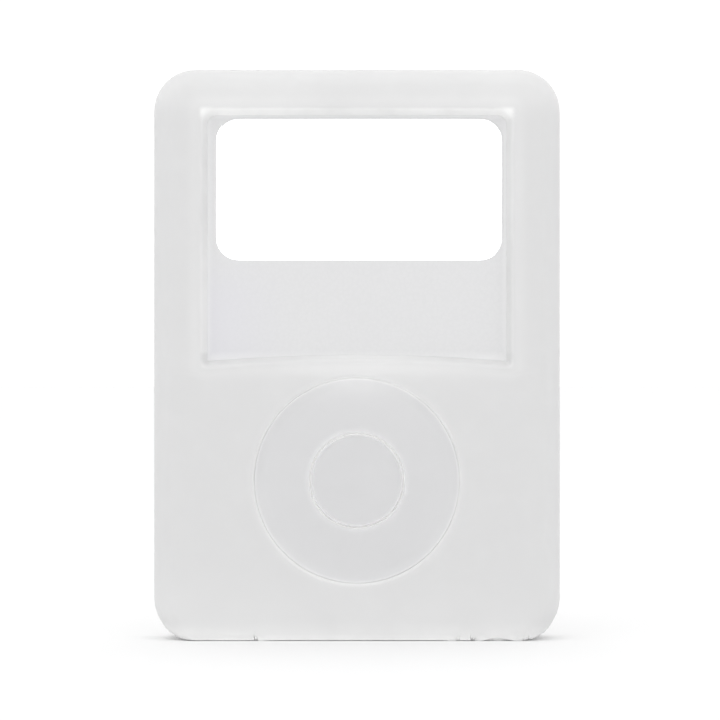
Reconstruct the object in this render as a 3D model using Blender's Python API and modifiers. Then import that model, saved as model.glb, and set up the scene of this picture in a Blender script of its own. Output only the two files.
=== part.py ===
"""Pocket digital audio player in its translucent silicone sleeve.

The player stands upright on its lower edge. X runs to the right as seen from the front, Y from the
front to the back and Z up, and the origin is the middle of the base. Every size and place below is
in millimetres; the helpers turn them into metres where a mesh is made.
"""

import math

import bmesh
import bpy
from mathutils import Matrix, Vector

MM = 0.001

# Clearance between neighbours that rest on each other, and between pieces that pass each other.
FIT = 0.15
RUNNING_GAP = 0.2
PAST = 1.0  # how far a cutter runs past the wall that it cuts

# Silicone sleeve
SLEEVE_WIDTH = 56.0
SLEEVE_DEPTH = 10.0
SLEEVE_HEIGHT = 78.6
SLEEVE_CORNER = 5.8
SLEEVE_EDGE = 2.6
SLEEVE_SIDE_WALL = 1.7
SLEEVE_END_WALL = 1.9
SLEEVE_FRONT_WALL = 1.5
SLEEVE_BACK_WALL = 1.4

# The player fills the sleeve.
PLAYER_WIDTH = SLEEVE_WIDTH - 2 * (SLEEVE_SIDE_WALL + FIT)
PLAYER_CORNER = SLEEVE_CORNER - SLEEVE_SIDE_WALL - FIT
PLAYER_EDGE = 0.9
PLAYER_FRONT = -SLEEVE_DEPTH / 2 + SLEEVE_FRONT_WALL + FIT
PLAYER_BACK = SLEEVE_DEPTH / 2 - SLEEVE_BACK_WALL - FIT
PLAYER_BOTTOM = SLEEVE_END_WALL + FIT
PLAYER_TOP = SLEEVE_HEIGHT - SLEEVE_END_WALL - FIT
HALF_PLAYER = PLAYER_WIDTH / 2

# Housing
COVER_PLATE = 0.8
COVER_FRONT_EDGE = 0.5
COVER_LIP_WALL = 0.7
COVER_LIP_DEPTH = 1.05
REAR_WALL = 0.5
COVER_BACK = PLAYER_FRONT + COVER_PLATE
LIP_BACK = COVER_BACK + COVER_LIP_DEPTH
REAR_FRONT = COVER_BACK + FIT
REAR_INSIDE = PLAYER_BACK - REAR_WALL
HALF_INSIDE = HALF_PLAYER - REAR_WALL
INSIDE_BOTTOM = PLAYER_BOTTOM + REAR_WALL
INSIDE_TOP = PLAYER_TOP - REAR_WALL

# Middle frame
FRAME_WALL = 1.0
FRAME_FRONT = LIP_BACK + FIT
FRAME_DEPTH = 2.95
FRAME_BACK = FRAME_FRONT + FRAME_DEPTH
FRAME_WEB = 0.5
HALF_FRAME = HALF_INSIDE - FIT
FRAME_BOTTOM = INSIDE_BOTTOM + FIT
FRAME_TOP = INSIDE_TOP - FIT
HALF_BAY = HALF_FRAME - FRAME_WALL
BAY_BOTTOM = FRAME_BOTTOM + FRAME_WALL

# Control wheel, its centre button and their pads in the sleeve
WHEEL_RADIUS = 14.0
WHEEL_MARGIN = 5.95  # from the player's lower end to the wheel
BUTTON_RADIUS = 6.35
WHEEL_Z = PLAYER_BOTTOM + WHEEL_MARGIN + WHEEL_RADIUS
WHEEL_RIM_GAP = 0.1
PAD_RADIUS = WHEEL_RADIUS - 0.05
PAD_HOLE = BUTTON_RADIUS + FIT
PAD_THICKNESS = 1.0
PAD_CHAMFER = 0.12
BUTTON_RIM_WIDTH = 0.28
BUTTON_RIM_HEIGHT = 0.12
WHEEL_FACE = PLAYER_FRONT + 0.1
WHEEL_THICKNESS = 0.9
WHEEL_BACK = WHEEL_FACE + WHEEL_THICKNESS
PAD_BACK = WHEEL_FACE - FIT
SENSOR_THICKNESS = 0.3
SENSOR_FRONT = WHEEL_BACK + FIT
SENSOR_BACK = SENSOR_FRONT + SENSOR_THICKNESS
SENSOR_HOLE = BUTTON_RADIUS + 0.35
SENSOR_RADIUS = WHEEL_RADIUS - 2.5
RING_THICKNESS = 0.25
RING_FRONT = SENSOR_BACK + FIT
RING_BACK = RING_FRONT + RING_THICKNESS
RING_INSIDE = SENSOR_RADIUS + 0.4
RING_OUTSIDE = RING_INSIDE + 1.3
RING_LUG_LENGTH = 1.8
RING_LUG_WIDTH = 1.6
PRESS_RADIUS = BUTTON_RADIUS + 1.75  # where the wheel's plungers press the snap domes
CAP_CHAMFER = 0.15
STEM_RADIUS = 1.6
STEM_TAPER = 0.2
PLUNGER_RADIUS = 0.8
PLUNGER_TRAVEL = 0.3
DOME_RADIUS = 1.9
DOME_HEIGHT = 0.3
SWITCH_BOARD_RADIUS = WHEEL_RADIUS - 1.4
SWITCH_BOARD_THICKNESS = 0.4
SWITCH_TAB_WIDTH = 6.0
SWITCH_TAB_RISE = 0.4

WEB_FRONT = RING_BACK + 1.75
WEB_BACK = WEB_FRONT + FRAME_WEB
SWITCH_BOARD_BACK = WEB_FRONT - FIT
SWITCH_BOARD_FRONT = SWITCH_BOARD_BACK - SWITCH_BOARD_THICKNESS
DOME_BACK = SWITCH_BOARD_FRONT - FIT
DOME_FRONT = DOME_BACK - DOME_HEIGHT
PLUNGER_TIP = DOME_FRONT - PLUNGER_TRAVEL

# Display
DISPLAY_WIDTH = 39.5
DISPLAY_HEIGHT = 19.6
DISPLAY_CORNER = 3.1
DISPLAY_MARGIN = 4.65  # from the player's top to the lit area
DISPLAY_OFFSET = 0.35
DISPLAY_TOP = PLAYER_TOP - DISPLAY_MARGIN
LENS_GAP = 0.1
GASKET_RIM = 1.6
GASKET_THICKNESS = 0.3
GLASS_BORDER = 2.0
GLASS_FOOT = 2.6  # the ledge below the lit area that carries the driver
GLASS_THICKNESS = 0.9
GUIDE_THICKNESS = 0.45
TRAY_WALL = 0.2
GASKET_FRONT = COVER_BACK + FIT
GLASS_FRONT = GASKET_FRONT + GASKET_THICKNESS + FIT
GLASS_BACK = GLASS_FRONT + GLASS_THICKNESS
GUIDE_FRONT = GLASS_BACK + FIT
GUIDE_BACK = GUIDE_FRONT + GUIDE_THICKNESS
TRAY_FRONT = GLASS_FRONT + FIT
TRAY_FLOOR = GUIDE_BACK + FIT
TRAY_BACK = TRAY_FLOOR + TRAY_WALL
HALF_GLASS = DISPLAY_WIDTH / 2 + GLASS_BORDER
GLASS_TOP = DISPLAY_TOP + GLASS_BORDER
GLASS_BOTTOM = DISPLAY_TOP - DISPLAY_HEIGHT - GLASS_FOOT

# Windows in the sleeve: one round the screen, one through the back wall
WINDOW_RIM = 1.4
WINDOW_TOP_RIM = 0.9
WINDOW_CORNER = 1.8
WINDOW_BRIDGE = 1.8  # soft wall left between the window and the wheel
WINDOW_RISE = 0.9  # how much higher the lower edge is in the middle
HALF_WINDOW = DISPLAY_WIDTH / 2 + WINDOW_RIM
WINDOW_TOP = DISPLAY_TOP + WINDOW_TOP_RIM
WINDOW_BOTTOM = WHEEL_Z + WHEEL_RADIUS + WINDOW_BRIDGE

# Battery
BATTERY_SIDE_GAP = 2.5
BATTERY_TOP_GAP = 3.55
BATTERY_TRAY_GAP = 0.1
BATTERY_EDGE = 0.6
BATTERY_FOAM = 0.25
BATTERY_BACK = REAR_INSIDE - BATTERY_FOAM - 2 * FIT
BATTERY_FRONT = TRAY_BACK + BATTERY_TRAY_GAP
BATTERY_TOP = INSIDE_TOP - BATTERY_TOP_GAP
BATTERY_BOTTOM = WINDOW_BOTTOM + 2.7
HALF_BATTERY = HALF_BAY - BATTERY_SIDE_GAP
BATTERY_BOARD_SIZE = (11.0, 1.0, 1.9)

# Main board
BOARD_THICKNESS = 0.6
BOARD_FRONT = WEB_BACK + FIT
BOARD_BACK = BOARD_FRONT + BOARD_THICKNESS
BOARD_TOP = WHEEL_Z + WHEEL_RADIUS + 0.5
BOARD_CORNER = PLAYER_CORNER - REAR_WALL - FRAME_WALL
BOARD_BOTTOM = BAY_BOTTOM + RUNNING_GAP
HALF_BOARD = HALF_BAY - RUNNING_GAP
WEB_TOP = BOARD_TOP - 0.5
CHIP_FRONT = BOARD_BACK + FIT
TALLEST_PART = 0.9
INSULATOR_THICKNESS = 0.1
CONNECTOR_HEIGHT = 2.6
CONNECTOR_THICKNESS = TALLEST_PART
CONNECTOR_Z = BOARD_TOP - 0.7 - CONNECTOR_HEIGHT
SOCKET_MARGIN = 0.8  # a flat cable's socket is this much wider on each side

# Flat cables and wires
FLEX_THICKNESS = 0.12
FLEX_RISE = 1.1  # how far the flat cables stand over the boards' upper edge
DISPLAY_FLEX_X = (1.2, 9.2)
SWITCH_FLEX_X = (-7.4, -2.4)
SENSOR_TAIL_X = (3.6, 6.2)
SENSOR_TAIL_DROP = 1.5
SENSOR_TAIL_GAP = 0.3
WIRE_X = (HALF_BATTERY - 9.0, HALF_BATTERY - 7.2)
WIRE_DIAMETER = 0.45

# Dock connector
DOCK_WIDTH = 24.6
DOCK_THICKNESS = 3.0
DOCK_LENGTH = 5.7
DOCK_LIP_GAP = 0.3
DOCK_Y = LIP_BACK + DOCK_LIP_GAP + DOCK_THICKNESS / 2
DOCK_WALL = 0.3
DOCK_BOTTOM = INSIDE_BOTTOM + FIT
DOCK_TOP = DOCK_BOTTOM + DOCK_LENGTH
DOCK_MOUTH_WIDTH = DOCK_WIDTH - 9 * DOCK_WALL
DOCK_MOUTH_DEPTH = DOCK_THICKNESS - 2 * DOCK_WALL
DOCK_CONTACTS = 15
DOCK_PITCH = 1.1
SLEEVE_DOCK_MARGIN = 2.0
SLEEVE_DOCK_DEPTH = 4.9

# Headphone jack
JACK_BORE = 1.8
JACK_WIDTH = 5.0
JACK_THICKNESS = 4.2
JACK_LENGTH = 11.6
JACK_SIDE_MARGIN = 6.8
JACK_X = HALF_PLAYER - JACK_SIDE_MARGIN
JACK_Y = LIP_BACK + JACK_THICKNESS / 2
JACK_BOTTOM = INSIDE_BOTTOM + FIT
JACK_TOP = JACK_BOTTOM + JACK_LENGTH
BEZEL_RADIUS = 2.1
SLEEVE_JACK_RADIUS = 3.2
SPRING_THICKNESS = 0.25
SPRING_GROOVE = 0.45

# Hold switch
HOLD_X = -15.0
HOLD_KNOB_LENGTH = 5.4
HOLD_KNOB_DEPTH = 1.4
HOLD_TRAVEL = 1.8
HOLD_PROUD = 0.35
HOLD_PLATE = 0.4
HOLD_PLATE_OVERHANG = 0.7
HOLD_PLATE_RIM = 0.35
HOLD_TRAY_GAP = 0.25
HOLD_Y = TRAY_BACK + HOLD_TRAY_GAP + HOLD_PLATE_RIM + HOLD_KNOB_DEPTH / 2
HOLD_ACTUATOR = 0.5
HOLD_BASE_HEIGHT = 0.9
SLEEVE_HOLD_MARGIN = 2.1
SLEEVE_HOLD_DEPTH = 4.4
HOLD_SLOT_LENGTH = HOLD_KNOB_LENGTH + HOLD_TRAVEL + 2 * FIT
HOLD_SLOT_LEFT = HOLD_X - HOLD_SLOT_LENGTH / 2

# Frame screws: places from the frame's side walls and from the wheel's axis
SCREW_INSET = 2.7
SCREW_SHANK = 0.5
SCREW_HEAD = 0.95
SCREW_HEAD_HEIGHT = 0.4
SCREW_LENGTH = 2.4
SCREW_BOSS = 1.5
SCREW_X = HALF_BAY - SCREW_INSET
SCREW_PLACES = (
    (-SCREW_X, BAY_BOTTOM + SCREW_INSET),
    (-SCREW_X, WHEEL_Z + 11.0),
    (SCREW_X, WHEEL_Z + 11.0),
    (SCREW_X, JACK_TOP + SCREW_INSET),
)

ROUND_STEPS = 48
SMALL_STEPS = 20

parts = None
cutters = None


# ---------------------------------------------------------------- scene and materials


def clear_scene():
    for old in list(bpy.data.objects):
        bpy.data.objects.remove(old)


def new_collection(name):
    made = bpy.data.collections.new(name)
    bpy.context.scene.collection.children.link(made)
    return made


def material(name, colour, roughness, metallic=0.0, alpha=1.0):
    """A plain Principled material, made once for each name."""
    if name in bpy.data.materials:
        return bpy.data.materials[name]
    made = bpy.data.materials.new(name)
    made.use_nodes = True
    made.diffuse_color = (*colour, alpha)
    shader = made.node_tree.nodes["Principled BSDF"]
    shader.inputs["Base Color"].default_value = (*colour, 1.0)
    shader.inputs["Roughness"].default_value = roughness
    shader.inputs["Metallic"].default_value = metallic
    shader.inputs["Alpha"].default_value = alpha
    return made


def silicone():
    return material("silicone", (0.80, 0.80, 0.81), 0.5, alpha=0.85)


def white_plastic():
    return material("white_plastic", (0.78, 0.78, 0.79), 0.4)


def polished_steel():
    return material("polished_steel", (0.72, 0.72, 0.74), 0.12, 1.0)


def spring_steel():
    return material("spring_steel", (0.62, 0.62, 0.64), 0.3, 1.0)


def frame_metal():
    return material("frame_metal", (0.45, 0.46, 0.48), 0.45, 1.0)


def gold_contact():
    return material("gold_contact", (0.85, 0.62, 0.25), 0.25, 1.0)


def black_plastic():
    return material("black_plastic", (0.03, 0.03, 0.035), 0.5)


def chip_resin():
    return material("chip_resin", (0.035, 0.036, 0.04), 0.6)


def board_resin():
    return material("board_resin", (0.02, 0.13, 0.07), 0.4)


def flex_film():
    return material("flex_film", (0.62, 0.30, 0.06), 0.35)


def foam():
    return material("foam", (0.05, 0.05, 0.055), 0.95)


def clear_lens():
    return material("clear_lens", (0.95, 0.96, 0.97), 0.05, alpha=0.3)


def display_glass():
    return material("display_glass", (0.95, 0.95, 0.96), 0.1)


def battery_foil():
    return material("battery_foil", (0.70, 0.70, 0.72), 0.35, 0.8)


# ---------------------------------------------------------------- shapes


def place(name, mesh, centre, finish, smooth_angle=None):
    """Links a mesh, in metres about its own centre, as the object of that name."""
    if smooth_angle is not None:
        mesh.shade_smooth()
        mesh.set_sharp_from_angle(angle=math.radians(smooth_angle))
    made = bpy.data.objects.new(name, mesh)
    made.location = Vector(centre) * MM
    parts.objects.link(made)
    if finish is not None:
        mesh.materials.append(finish)
    return made


def as_cutter(tool):
    """Moves an object to the cutters, so that only a Boolean sees it."""
    parts.objects.unlink(tool)
    cutters.objects.link(tool)
    tool.hide_render = True
    tool.display_type = "WIRE"
    return tool


def boolean(piece, tool, operation):
    as_cutter(tool)
    step = piece.modifiers.new(f"{operation.lower()}_{tool.name}", "BOOLEAN")
    step.operation = operation
    step.solver = "EXACT"
    step.object = tool


def cut(piece, *tools):
    for tool in tools:
        boolean(piece, tool, "DIFFERENCE")


def join(piece, *tools):
    for tool in tools:
        boolean(piece, tool, "UNION")


def box_mesh(name, size):
    """A cube primitive of that size about its centre, and its bmesh for bevelling."""
    shape = bmesh.new()
    bmesh.ops.create_cube(shape, size=1.0)
    bmesh.ops.scale(shape, verts=shape.verts, vec=[side * MM for side in size])
    return bpy.data.meshes.new(name), shape


def middle(span):
    return (span[0] + span[1]) / 2


def block(name, x, y, z, finish=None, bevel=0.0):
    """A box between two bounds on each axis, with all its edges broken by bevel."""
    mesh, shape = box_mesh(name, (x[1] - x[0], y[1] - y[0], z[1] - z[0]))
    if bevel:
        bmesh.ops.bevel(shape, geom=shape.edges[:], offset=bevel * MM, segments=1, affect="EDGES")
    shape.to_mesh(mesh)
    shape.free()
    return place(name, mesh, (middle(x), middle(y), middle(z)), finish)


def outline_edges(shape, side):
    """The edges round the flat face on the front (side -1) or the back (side 1)."""
    reach = max(side * vertex.co.y for vertex in shape.verts)
    on_face = [v for v in shape.verts if abs(side * v.co.y - reach) < 0.001 * MM]
    chosen = set(on_face)
    return [edge for edge in shape.edges if edge.verts[0] in chosen and edge.verts[1] in chosen]


def slab(name, x, y, z, corner, finish=None, front_edge=0.0, back_edge=0.0, steps=6):
    """A plate that faces the front, with rounded corners and rounded front and back edges."""
    mesh, shape = box_mesh(name, (x[1] - x[0], y[1] - y[0], z[1] - z[0]))
    upright = [e for e in shape.edges if abs(e.verts[0].co.y - e.verts[1].co.y) > 0.001 * MM]
    bmesh.ops.bevel(shape, geom=upright, offset=corner * MM, segments=steps, profile=0.5, affect="EDGES")
    for side, radius in ((-1, front_edge), (1, back_edge)):
        if radius:
            rim = outline_edges(shape, side)
            bmesh.ops.bevel(shape, geom=rim, offset=radius * MM, segments=4, profile=0.5, affect="EDGES")
    shape.to_mesh(mesh)
    shape.free()
    return place(name, mesh, (middle(x), middle(y), middle(z)), finish, smooth_angle=35)


def rod(name, radius, start, end, finish=None, steps=SMALL_STEPS):
    """A cylinder between two points."""
    run = (Vector(end) - Vector(start)) * MM
    shape = bmesh.new()
    bmesh.ops.create_cone(
        shape, cap_ends=True, segments=steps, radius1=radius * MM, radius2=radius * MM, depth=run.length
    )
    mesh = bpy.data.meshes.new(name)
    shape.to_mesh(mesh)
    shape.free()
    made = place(name, mesh, (Vector(start) + Vector(end)) / 2, finish, smooth_angle=40)
    made.rotation_mode = "QUATERNION"
    made.rotation_quaternion = run.to_track_quat("Z", "Y")
    return made


def across(name, radius, x, z, y, finish=None, steps=SMALL_STEPS):
    """A cylinder along Y at (x, z) between two depths."""
    return rod(name, radius, (x, y[0], z), (x, y[1], z), finish, steps)


def turned(name, profile, centre, finish, steps=SMALL_STEPS, towards_front=True):
    """A profile of (radius, height) turned about an axis through centre.

    The profile is a closed loop that runs down its outer side. Height points to the front, or down
    where towards_front is false.
    """
    shape = bmesh.new()
    loop = [shape.verts.new((radius * MM, 0.0, height * MM)) for radius, height in profile]
    closed = min(radius for radius, _ in profile) > 0
    for first, second in zip(loop, loop[1:] + (loop[:1] if closed else [])):
        shape.edges.new((first, second))
    mesh = bpy.data.meshes.new(name)
    shape.to_mesh(mesh)
    shape.free()
    made = place(name, mesh, centre, finish)
    made.rotation_euler = (math.pi / 2, 0, 0) if towards_front else (math.pi, 0, 0)
    screw = made.modifiers.new("turn", "SCREW")
    screw.axis = "Z"
    screw.steps = steps
    screw.render_steps = steps
    screw.use_merge_vertices = True
    screw.merge_threshold = 0.000001
    screw.use_smooth_shade = False
    return made


def ring_profile(inside, outside, thickness, chamfer=0.0):
    """A washer's section, down its outer side, with the front edges chamfered."""
    if not chamfer:
        return ((inside, thickness), (outside, thickness), (outside, 0.0), (inside, 0.0))
    return (
        (inside + chamfer, thickness),
        (outside - chamfer, thickness),
        (outside, thickness - chamfer),
        (outside, 0.0),
        (inside, 0.0),
        (inside, thickness - chamfer),
    )


def arc(centre, radius, start, end, steps):
    """Points on a circle's arc, angles in degrees, both ends included."""
    turns = [math.radians(start + (end - start) * i / steps) for i in range(steps + 1)]
    return [(centre[0] + radius * math.cos(t), centre[1] + radius * math.sin(t)) for t in turns]


def rounded_outline(x, z, radius, steps=6):
    """A rectangle's outline with round corners."""
    left, right, low, high = x[0] + radius, x[1] - radius, z[0] + radius, z[1] - radius
    corners = (((right, high), 0), ((left, high), 90), ((left, low), 180), ((right, low), 270))
    return [point for centre, turn in corners for point in arc(centre, radius, turn, turn + 90, steps)]


def window_outline():
    """The sleeve's window: round upper corners, and a lower edge that is an arc, higher in the middle."""
    left, right = -HALF_WINDOW, HALF_WINDOW
    top = WINDOW_TOP - WINDOW_CORNER
    upper = arc((right - WINDOW_CORNER, top), WINDOW_CORNER, 0, 90, 6)
    upper += arc((left + WINDOW_CORNER, top), WINDOW_CORNER, 90, 180, 6)
    spread = (HALF_WINDOW**2 + WINDOW_RISE**2) / (2 * WINDOW_RISE)
    half_turn = math.degrees(math.asin(HALF_WINDOW / spread))
    centre = (0.0, WINDOW_BOTTOM + WINDOW_RISE - spread)
    return upper + arc(centre, spread, 90 + half_turn, 90 - half_turn, 12)


def flat_piece(name, outline, y, finish=None):
    """A flat outline in the XZ plane, given thickness between two depths, as a welded mesh."""
    curve = bpy.data.curves.new(name, "CURVE")
    curve.dimensions = "2D"
    curve.fill_mode = "BOTH"
    curve.extrude = (y[1] - y[0]) / 2 * MM
    line = curve.splines.new("POLY")
    line.points.add(len(outline) - 1)
    for point, (x, z) in zip(line.points, outline):
        point.co = (x * MM, z * MM, 0.0, 1.0)
    line.use_cyclic_u = True
    guide = bpy.data.objects.new(name + "_outline", curve)
    bpy.context.scene.collection.objects.link(guide)
    bpy.context.view_layer.update()
    graph = bpy.context.evaluated_depsgraph_get()
    mesh = bpy.data.meshes.new_from_object(guide.evaluated_get(graph))
    mesh.name = name
    bpy.data.objects.remove(guide)
    shape = bmesh.new()
    shape.from_mesh(mesh)
    bmesh.ops.remove_doubles(shape, verts=shape.verts, dist=0.001 * MM)
    bmesh.ops.recalc_face_normals(shape, faces=shape.faces)
    shape.to_mesh(mesh)
    shape.free()
    made = place(name, mesh, (0.0, middle(y), 0.0), finish)
    made.rotation_euler = (math.pi / 2, 0, 0)
    return made


def smooth_path(points, pieces=4):
    """A Catmull-Rom curve through the points, ends included."""
    spread = [Vector(p) for p in (points[0], *points, points[-1])]
    path = []
    for before, start, end, after in zip(spread, spread[1:], spread[2:], spread[3:]):
        for i in range(pieces):
            t = i / pieces
            path.append(
                0.5
                * (
                    2 * start
                    + (end - before) * t
                    + (2 * before - 5 * start + 4 * end - after) * t**2
                    + (3 * start - before - 3 * end + after) * t**3
                )
            )
    return path + [spread[-1]]


def ribbon(name, points, x, thickness, finish):
    """A flat cable: a strip that follows (y, z) points, spans x, and is thickened about its middle."""
    path = smooth_path([(y, z, 0.0) for y, z in points])
    shape = bmesh.new()
    rows = [
        [shape.verts.new((side * MM, point.x * MM, point.y * MM)) for side in x] for point in path
    ]
    for lower, upper in zip(rows, rows[1:]):
        shape.faces.new((lower[0], lower[1], upper[1], upper[0]))
    mesh = bpy.data.meshes.new(name)
    shape.to_mesh(mesh)
    shape.free()
    made = place(name, mesh, (0.0, 0.0, 0.0), finish)
    wall = made.modifiers.new("thickness", "SOLIDIFY")
    wall.thickness = thickness * MM
    wall.offset = 0.0
    return made


def wire(name, points, diameter, finish):
    """A round wire through the points."""
    path = smooth_path(points)
    curve = bpy.data.curves.new(name, "CURVE")
    curve.dimensions = "3D"
    curve.bevel_depth = diameter / 2 * MM
    curve.bevel_resolution = 2
    curve.use_fill_caps = True
    line = curve.splines.new("POLY")
    line.points.add(len(path) - 1)
    for point, place_on_path in zip(line.points, path):
        point.co = (*(place_on_path * MM), 1.0)
    made = bpy.data.objects.new(name, curve)
    parts.objects.link(made)
    curve.materials.append(finish)
    return made


# ---------------------------------------------------------------- sleeve


def make_sleeve():
    half_width, half_depth = SLEEVE_WIDTH / 2, SLEEVE_DEPTH / 2
    sleeve = slab(
        "silicone_sleeve",
        (-half_width, half_width),
        (-half_depth, half_depth),
        (0.0, SLEEVE_HEIGHT),
        SLEEVE_CORNER,
        silicone(),
        SLEEVE_EDGE,
        SLEEVE_EDGE,
        steps=8,
    )
    cavity = slab(
        "sleeve_cavity",
        (-HALF_PLAYER - FIT, HALF_PLAYER + FIT),
        (PLAYER_FRONT - FIT, PLAYER_BACK + FIT),
        (PLAYER_BOTTOM - FIT, PLAYER_TOP + FIT),
        PLAYER_CORNER + FIT,
        None,
        COVER_FRONT_EDGE + FIT,
        PLAYER_EDGE + FIT,
    )
    front = (-half_depth - PAST, PLAYER_FRONT)
    back = (PLAYER_BACK, half_depth + PAST)
    window = flat_piece("sleeve_window", window_outline(), front)
    lit_x, lit_z = display_bounds()
    opening = flat_piece("sleeve_back_opening", rounded_outline(lit_x, lit_z, DISPLAY_CORNER), back)
    rim = WHEEL_RADIUS + WHEEL_RIM_GAP
    wheel_hole = across("sleeve_wheel_hole", rim, 0, WHEEL_Z, front, None, ROUND_STEPS)
    below = (-PAST, PLAYER_BOTTOM)
    above = (PLAYER_TOP, SLEEVE_HEIGHT + PAST)
    half_dock = DOCK_MOUTH_WIDTH / 2 + SLEEVE_DOCK_MARGIN
    dock_y = (DOCK_Y - SLEEVE_DOCK_DEPTH / 2, DOCK_Y + SLEEVE_DOCK_DEPTH / 2)
    dock = block("sleeve_dock_opening", (-half_dock, half_dock), dock_y, below)
    jack = rod(
        "sleeve_jack_opening", SLEEVE_JACK_RADIUS, (JACK_X, JACK_Y, below[0]), (JACK_X, JACK_Y, below[1])
    )
    hold_x = (HOLD_SLOT_LEFT - SLEEVE_HOLD_MARGIN, HOLD_SLOT_LEFT + HOLD_SLOT_LENGTH + SLEEVE_HOLD_MARGIN)
    hold_y = (HOLD_Y - SLEEVE_HOLD_DEPTH / 2, HOLD_Y + SLEEVE_HOLD_DEPTH / 2)
    hold = block("sleeve_hold_opening", hold_x, hold_y, above)
    cut(sleeve, cavity, window, opening, wheel_hole, dock, jack, hold)


def make_sleeve_pads():
    """The sleeve's thin skin over the wheel and over the button, each moving with what it covers."""
    centre = (0.0, PAD_BACK, WHEEL_Z)
    ring = ring_profile(PAD_HOLE, PAD_RADIUS, PAD_THICKNESS, PAD_CHAMFER)
    turned("sleeve_wheel_pad", ring, centre, silicone(), ROUND_STEPS)
    crest = PAD_THICKNESS + BUTTON_RIM_HEIGHT
    inner = BUTTON_RADIUS - BUTTON_RIM_WIDTH
    profile = (
        (0.0, PAD_THICKNESS),
        (inner, PAD_THICKNESS),
        (inner + BUTTON_RIM_WIDTH / 2, crest),
        (BUTTON_RADIUS, PAD_THICKNESS),
        (BUTTON_RADIUS, 0.0),
        (0.0, 0.0),
    )
    turned("sleeve_button_pad", profile, centre, silicone(), ROUND_STEPS)


# ---------------------------------------------------------------- housing


def display_bounds(grow=0.0):
    """The lit area's bounds on X and Z, grown by a margin."""
    half = DISPLAY_WIDTH / 2 + grow
    low = DISPLAY_TOP - DISPLAY_HEIGHT - grow
    return (DISPLAY_OFFSET - half, DISPLAY_OFFSET + half), (low, DISPLAY_TOP + grow)


def shell_slab(name, inset, y, finish=None, front_edge=0.0, back_edge=0.0):
    """A slab with the player's outline, drawn in by inset."""
    half = HALF_PLAYER - inset
    z = (PLAYER_BOTTOM + inset, PLAYER_TOP - inset)
    return slab(name, (-half, half), y, z, PLAYER_CORNER - inset, finish, front_edge, back_edge)


def make_front_cover():
    """A plate with the screen's opening and the wheel's hole, and a lip that plugs into the rear cover."""
    cover = shell_slab(
        "front_cover", 0.0, (PLAYER_FRONT, COVER_BACK), white_plastic(), front_edge=COVER_FRONT_EDGE
    )
    lip_inset = REAR_WALL + FIT
    lip = shell_slab("cover_lip", lip_inset, (COVER_BACK - COVER_PLATE / 2, LIP_BACK))
    hollow = shell_slab("cover_lip_hollow", lip_inset + COVER_LIP_WALL, (COVER_BACK, LIP_BACK + PAST))
    join(cover, lip)
    lit_x, lit_z = display_bounds()
    through = (PLAYER_FRONT - PAST, COVER_BACK + PAST)
    opening = flat_piece("cover_screen_opening", rounded_outline(lit_x, lit_z, DISPLAY_CORNER), through)
    wheel_hole = across(
        "cover_wheel_hole", WHEEL_RADIUS + FIT, 0, WHEEL_Z, through, None, ROUND_STEPS
    )
    half_jack = JACK_WIDTH / 2 + RUNNING_GAP
    notch_x = (JACK_X - half_jack, JACK_X + half_jack)
    notch_z = (PLAYER_BOTTOM, FRAME_BOTTOM + 2.0)
    notch = block("cover_lip_notch", notch_x, (REAR_FRONT, LIP_BACK + PAST), notch_z)
    cut(cover, hollow, opening, wheel_hole, notch)


def make_rear_cover():
    """A thin polished tub, open to the front, with slots for the dock, the jack and the hold switch."""
    cover = shell_slab(
        "rear_cover", 0.0, (REAR_FRONT, PLAYER_BACK), polished_steel(), back_edge=PLAYER_EDGE
    )
    hollow = shell_slab(
        "rear_cover_hollow", REAR_WALL, (REAR_FRONT - PAST, REAR_INSIDE), back_edge=PLAYER_EDGE - REAR_WALL
    )
    low_wall = (PLAYER_BOTTOM - PAST, INSIDE_BOTTOM + PAST)
    half_mouth = DOCK_MOUTH_WIDTH / 2
    mouth_y = (DOCK_Y - DOCK_MOUTH_DEPTH / 2, DOCK_Y + DOCK_MOUTH_DEPTH / 2)
    dock = block("rear_dock_slot", (-half_mouth, half_mouth), mouth_y, low_wall)
    jack = rod(
        "rear_jack_hole", BEZEL_RADIUS + FIT, (JACK_X, JACK_Y, low_wall[0]), (JACK_X, JACK_Y, low_wall[1])
    )
    slot_y = (HOLD_Y - HOLD_KNOB_DEPTH / 2 - FIT, HOLD_Y + HOLD_KNOB_DEPTH / 2 + FIT)
    slot_x = (HOLD_SLOT_LEFT, HOLD_SLOT_LEFT + HOLD_SLOT_LENGTH)
    hold = block("rear_hold_slot", slot_x, slot_y, (INSIDE_TOP - PAST, PLAYER_TOP + PAST))
    cut(cover, hollow, dock, jack, hold)


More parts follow.
